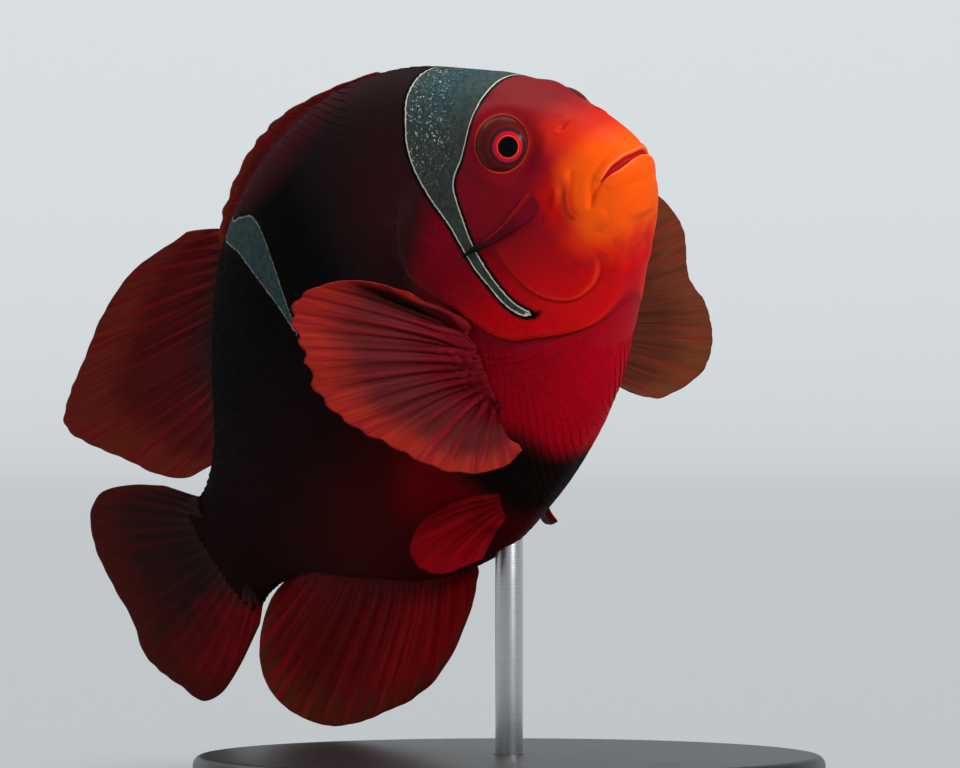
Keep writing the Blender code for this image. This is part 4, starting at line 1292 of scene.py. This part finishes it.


# The far (left) pectoral takes the shaded copy of the pectoral tints as painted shade
pectoral_paint = {"right": fin_finish("pectoral", 0.34, 0.80), "left": fin_finish("shaded_far_pectoral", 0.34, 0.80)}
pelvic_paint = fin_finish("pelvic", 0.1, 0.85)
for hand, outwards in OUTWARDS.items():
    spread, bow = on_flank(outwards, PECTORAL_TOP, PECTORAL_BOTTOM, None, PECTORAL_TIPS[hand],
                           PECTORAL_SWING[hand], PECTORAL_BOW)
    fin = make_fin("pectoral_" + hand, "pectoral_fin_" + hand, spread, 17, 21, bow=bow, fork=0.36,
                   scallop=PECTORAL_RAGGED[hand], base_half=1.1, base_run=0.14, pleat=0.22,
                   waves=[(2.3, 0.30, 0.2), (4.1, 0.20, 0.6)], folds=PECTORAL_FOLDS[hand], wrinkled=0.16)
    fin.data.materials.append(pectoral_paint[hand])
    spread, bow = on_flank(outwards, PELVIC_FRONT, PELVIC_REAR, (0.0, -outwards * PELVIC_LEAN, -1.0),
                           PELVIC_TIPS, PELVIC_SWING, PELVIC_BOW)
    fin = make_fin("pelvic_" + hand, "pelvic_fin_" + hand, spread, 6, 22, bow=bow, fork=0.30,
                   scallop=0.008, base_half=0.55, base_run=0.30, pleat=0.10, waves=[(1.1, 0.3, 0.3)])
    fin.data.materials.append(pelvic_paint)

# ---------------------------------------------------------------------------------------------
# Studio: a round pale floor that curves up into a low wall, a soft key light on the head, a wide
# fill, lights from above and behind, a soft sun for the floor, and a long lens level with the fish.
CAMERA_TURN = math.radians(56.9)
CAMERA_AWAY = 7.1 * STANDARD_LENGTH
CAMERA_RIGHT = -0.1696 * STANDARD_LENGTH
CAMERA_UP = -0.2463 * STANDARD_LENGTH
LENS = 248.0
SENSOR = 36.0
FLOOR_COLOUR = (0.62, 0.64, 0.65, 1)
FLOOR_FIBRES = (0.5952, 0.6144, 0.6240, 1)
SKY_COLOUR = (0.80, 0.84, 0.88, 1)
SKY_STRENGTH = 0.42
SWEEP_RADIUS = 3.0
SWEEP_BEND = 1.2
SWEEP_HOLE = 0.02
SWEEP_SIDES = 96
SWEEP_STEPS = 20


def make_camera():
    """The camera, and the directions it looks along and has on its right."""
    look = Vector((-math.sin(CAMERA_TURN), math.cos(CAMERA_TURN), 0))
    right = Vector((math.cos(CAMERA_TURN), math.sin(CAMERA_TURN), 0))
    lens = bpy.data.cameras.new("camera")
    lens.lens = LENS
    lens.sensor_width = SENSOR
    lens.clip_start = 0.05
    lens.clip_end = 20
    camera = bpy.data.objects.new("camera", lens)
    camera.location = Vector(SNOUT) - look * CAMERA_AWAY + right * CAMERA_RIGHT + Vector((0, 0, CAMERA_UP))
    camera.rotation_euler = look.to_track_quat("-Z", "Y").to_euler()
    bpy.context.scene.collection.objects.link(camera)
    bpy.context.scene.camera = camera
    return look, right


def make_sweep():
    """The floor and its wall, as rings about the middle of the stand."""
    turn = np.linspace(0, 2 * math.pi, SWEEP_SIDES, endpoint=False)
    bend = np.linspace(0.05, math.pi / 2, SWEEP_STEPS)
    away = np.concatenate([[SWEEP_HOLE, SWEEP_RADIUS], SWEEP_RADIUS + SWEEP_BEND * np.sin(bend)])
    up = np.concatenate([[0, 0], SWEEP_BEND * (1 - np.cos(bend))])
    rings = xyz(away[:, None] * np.cos(turn), away[:, None] * np.sin(turn), up[:, None])
    sweep = solid("sweep", rings.reshape(-1, 3), patch(len(away), SWEEP_SIDES, ring=True))
    made, shader, start = new_finish("matt_paper", Roughness=0.9, Specular_IOR_Level=0.0)
    feed(shader, {"Base Color": start.noise(700.0, 4.0).over(FLOOR_COLOUR, FLOOR_FIBRES)})
    sweep.data.materials.append(made)
    return sweep


def soft_light(name, place, aim, size, power, missed, kind="AREA"):
    """A lamp whose light reaches every piece but those missed, so that no pool of it whitens them."""
    lamp = bpy.data.lights.new(name, kind)
    lamp.energy = power
    if kind == "AREA":
        lamp.shape = "DISK"
        lamp.size = size
    else:
        lamp.angle = size
    light = bpy.data.objects.new(name, lamp)
    light.location = place
    light.rotation_euler = (Vector(aim) - Vector(place)).to_track_quat("-Z", "Y").to_euler()
    bpy.context.scene.collection.objects.link(light)
    shaded = bpy.data.collections.new("missed_by_" + name)
    light.light_linking.receiver_collection = shaded
    for number, piece in enumerate(missed):
        shaded.objects.link(piece)
        shaded.collection_objects[number].light_linking.link_state = "EXCLUDE"


# Lamps: name, place and aim in metres towards the wall, to the right and up, width, power, pieces missed
look, right = make_camera()
sweep = make_sweep()
model = [piece for piece in bpy.context.scene.objects if piece.type == "MESH" and piece != sweep]
head = Vector(SNOUT)
above = Vector((0, 0, 1))
soft_light("key", head - look * 0.50 + right * 0.34 + above * 0.26, head, 0.20, 4.6, [sweep, base])
soft_light("fill", head - look * 0.6 - right * 0.6 + above * 0.45, (0, 0, 0.06), 0.6, 0.7, [sweep])
soft_light("back", look * 0.30 + above * 1.3, look * 1.2 + above * 0.25, 0.9, 9.0, [sweep])
soft_light("top", look * 0.25 - right * 0.1 + above * 0.9, look * 0.30, 0.8, 2.0, [sweep])
soft_light("rim", head + look * 0.4 - right * 0.45 + above * 0.5, (0, 0, 0.08), 0.4, 1.0, [sweep])
soft_light("floor", above - look, (0, 0, 0), 0.6, 2.4, model, "SUN")
world = bpy.data.worlds.new("studio")
world.use_nodes = True
sky = world.node_tree.nodes["Background"]
sky.inputs["Color"].default_value = SKY_COLOUR
sky.inputs["Strength"].default_value = SKY_STRENGTH
bpy.context.scene.world = world
bpy.context.scene.view_settings.view_transform = "Standard"
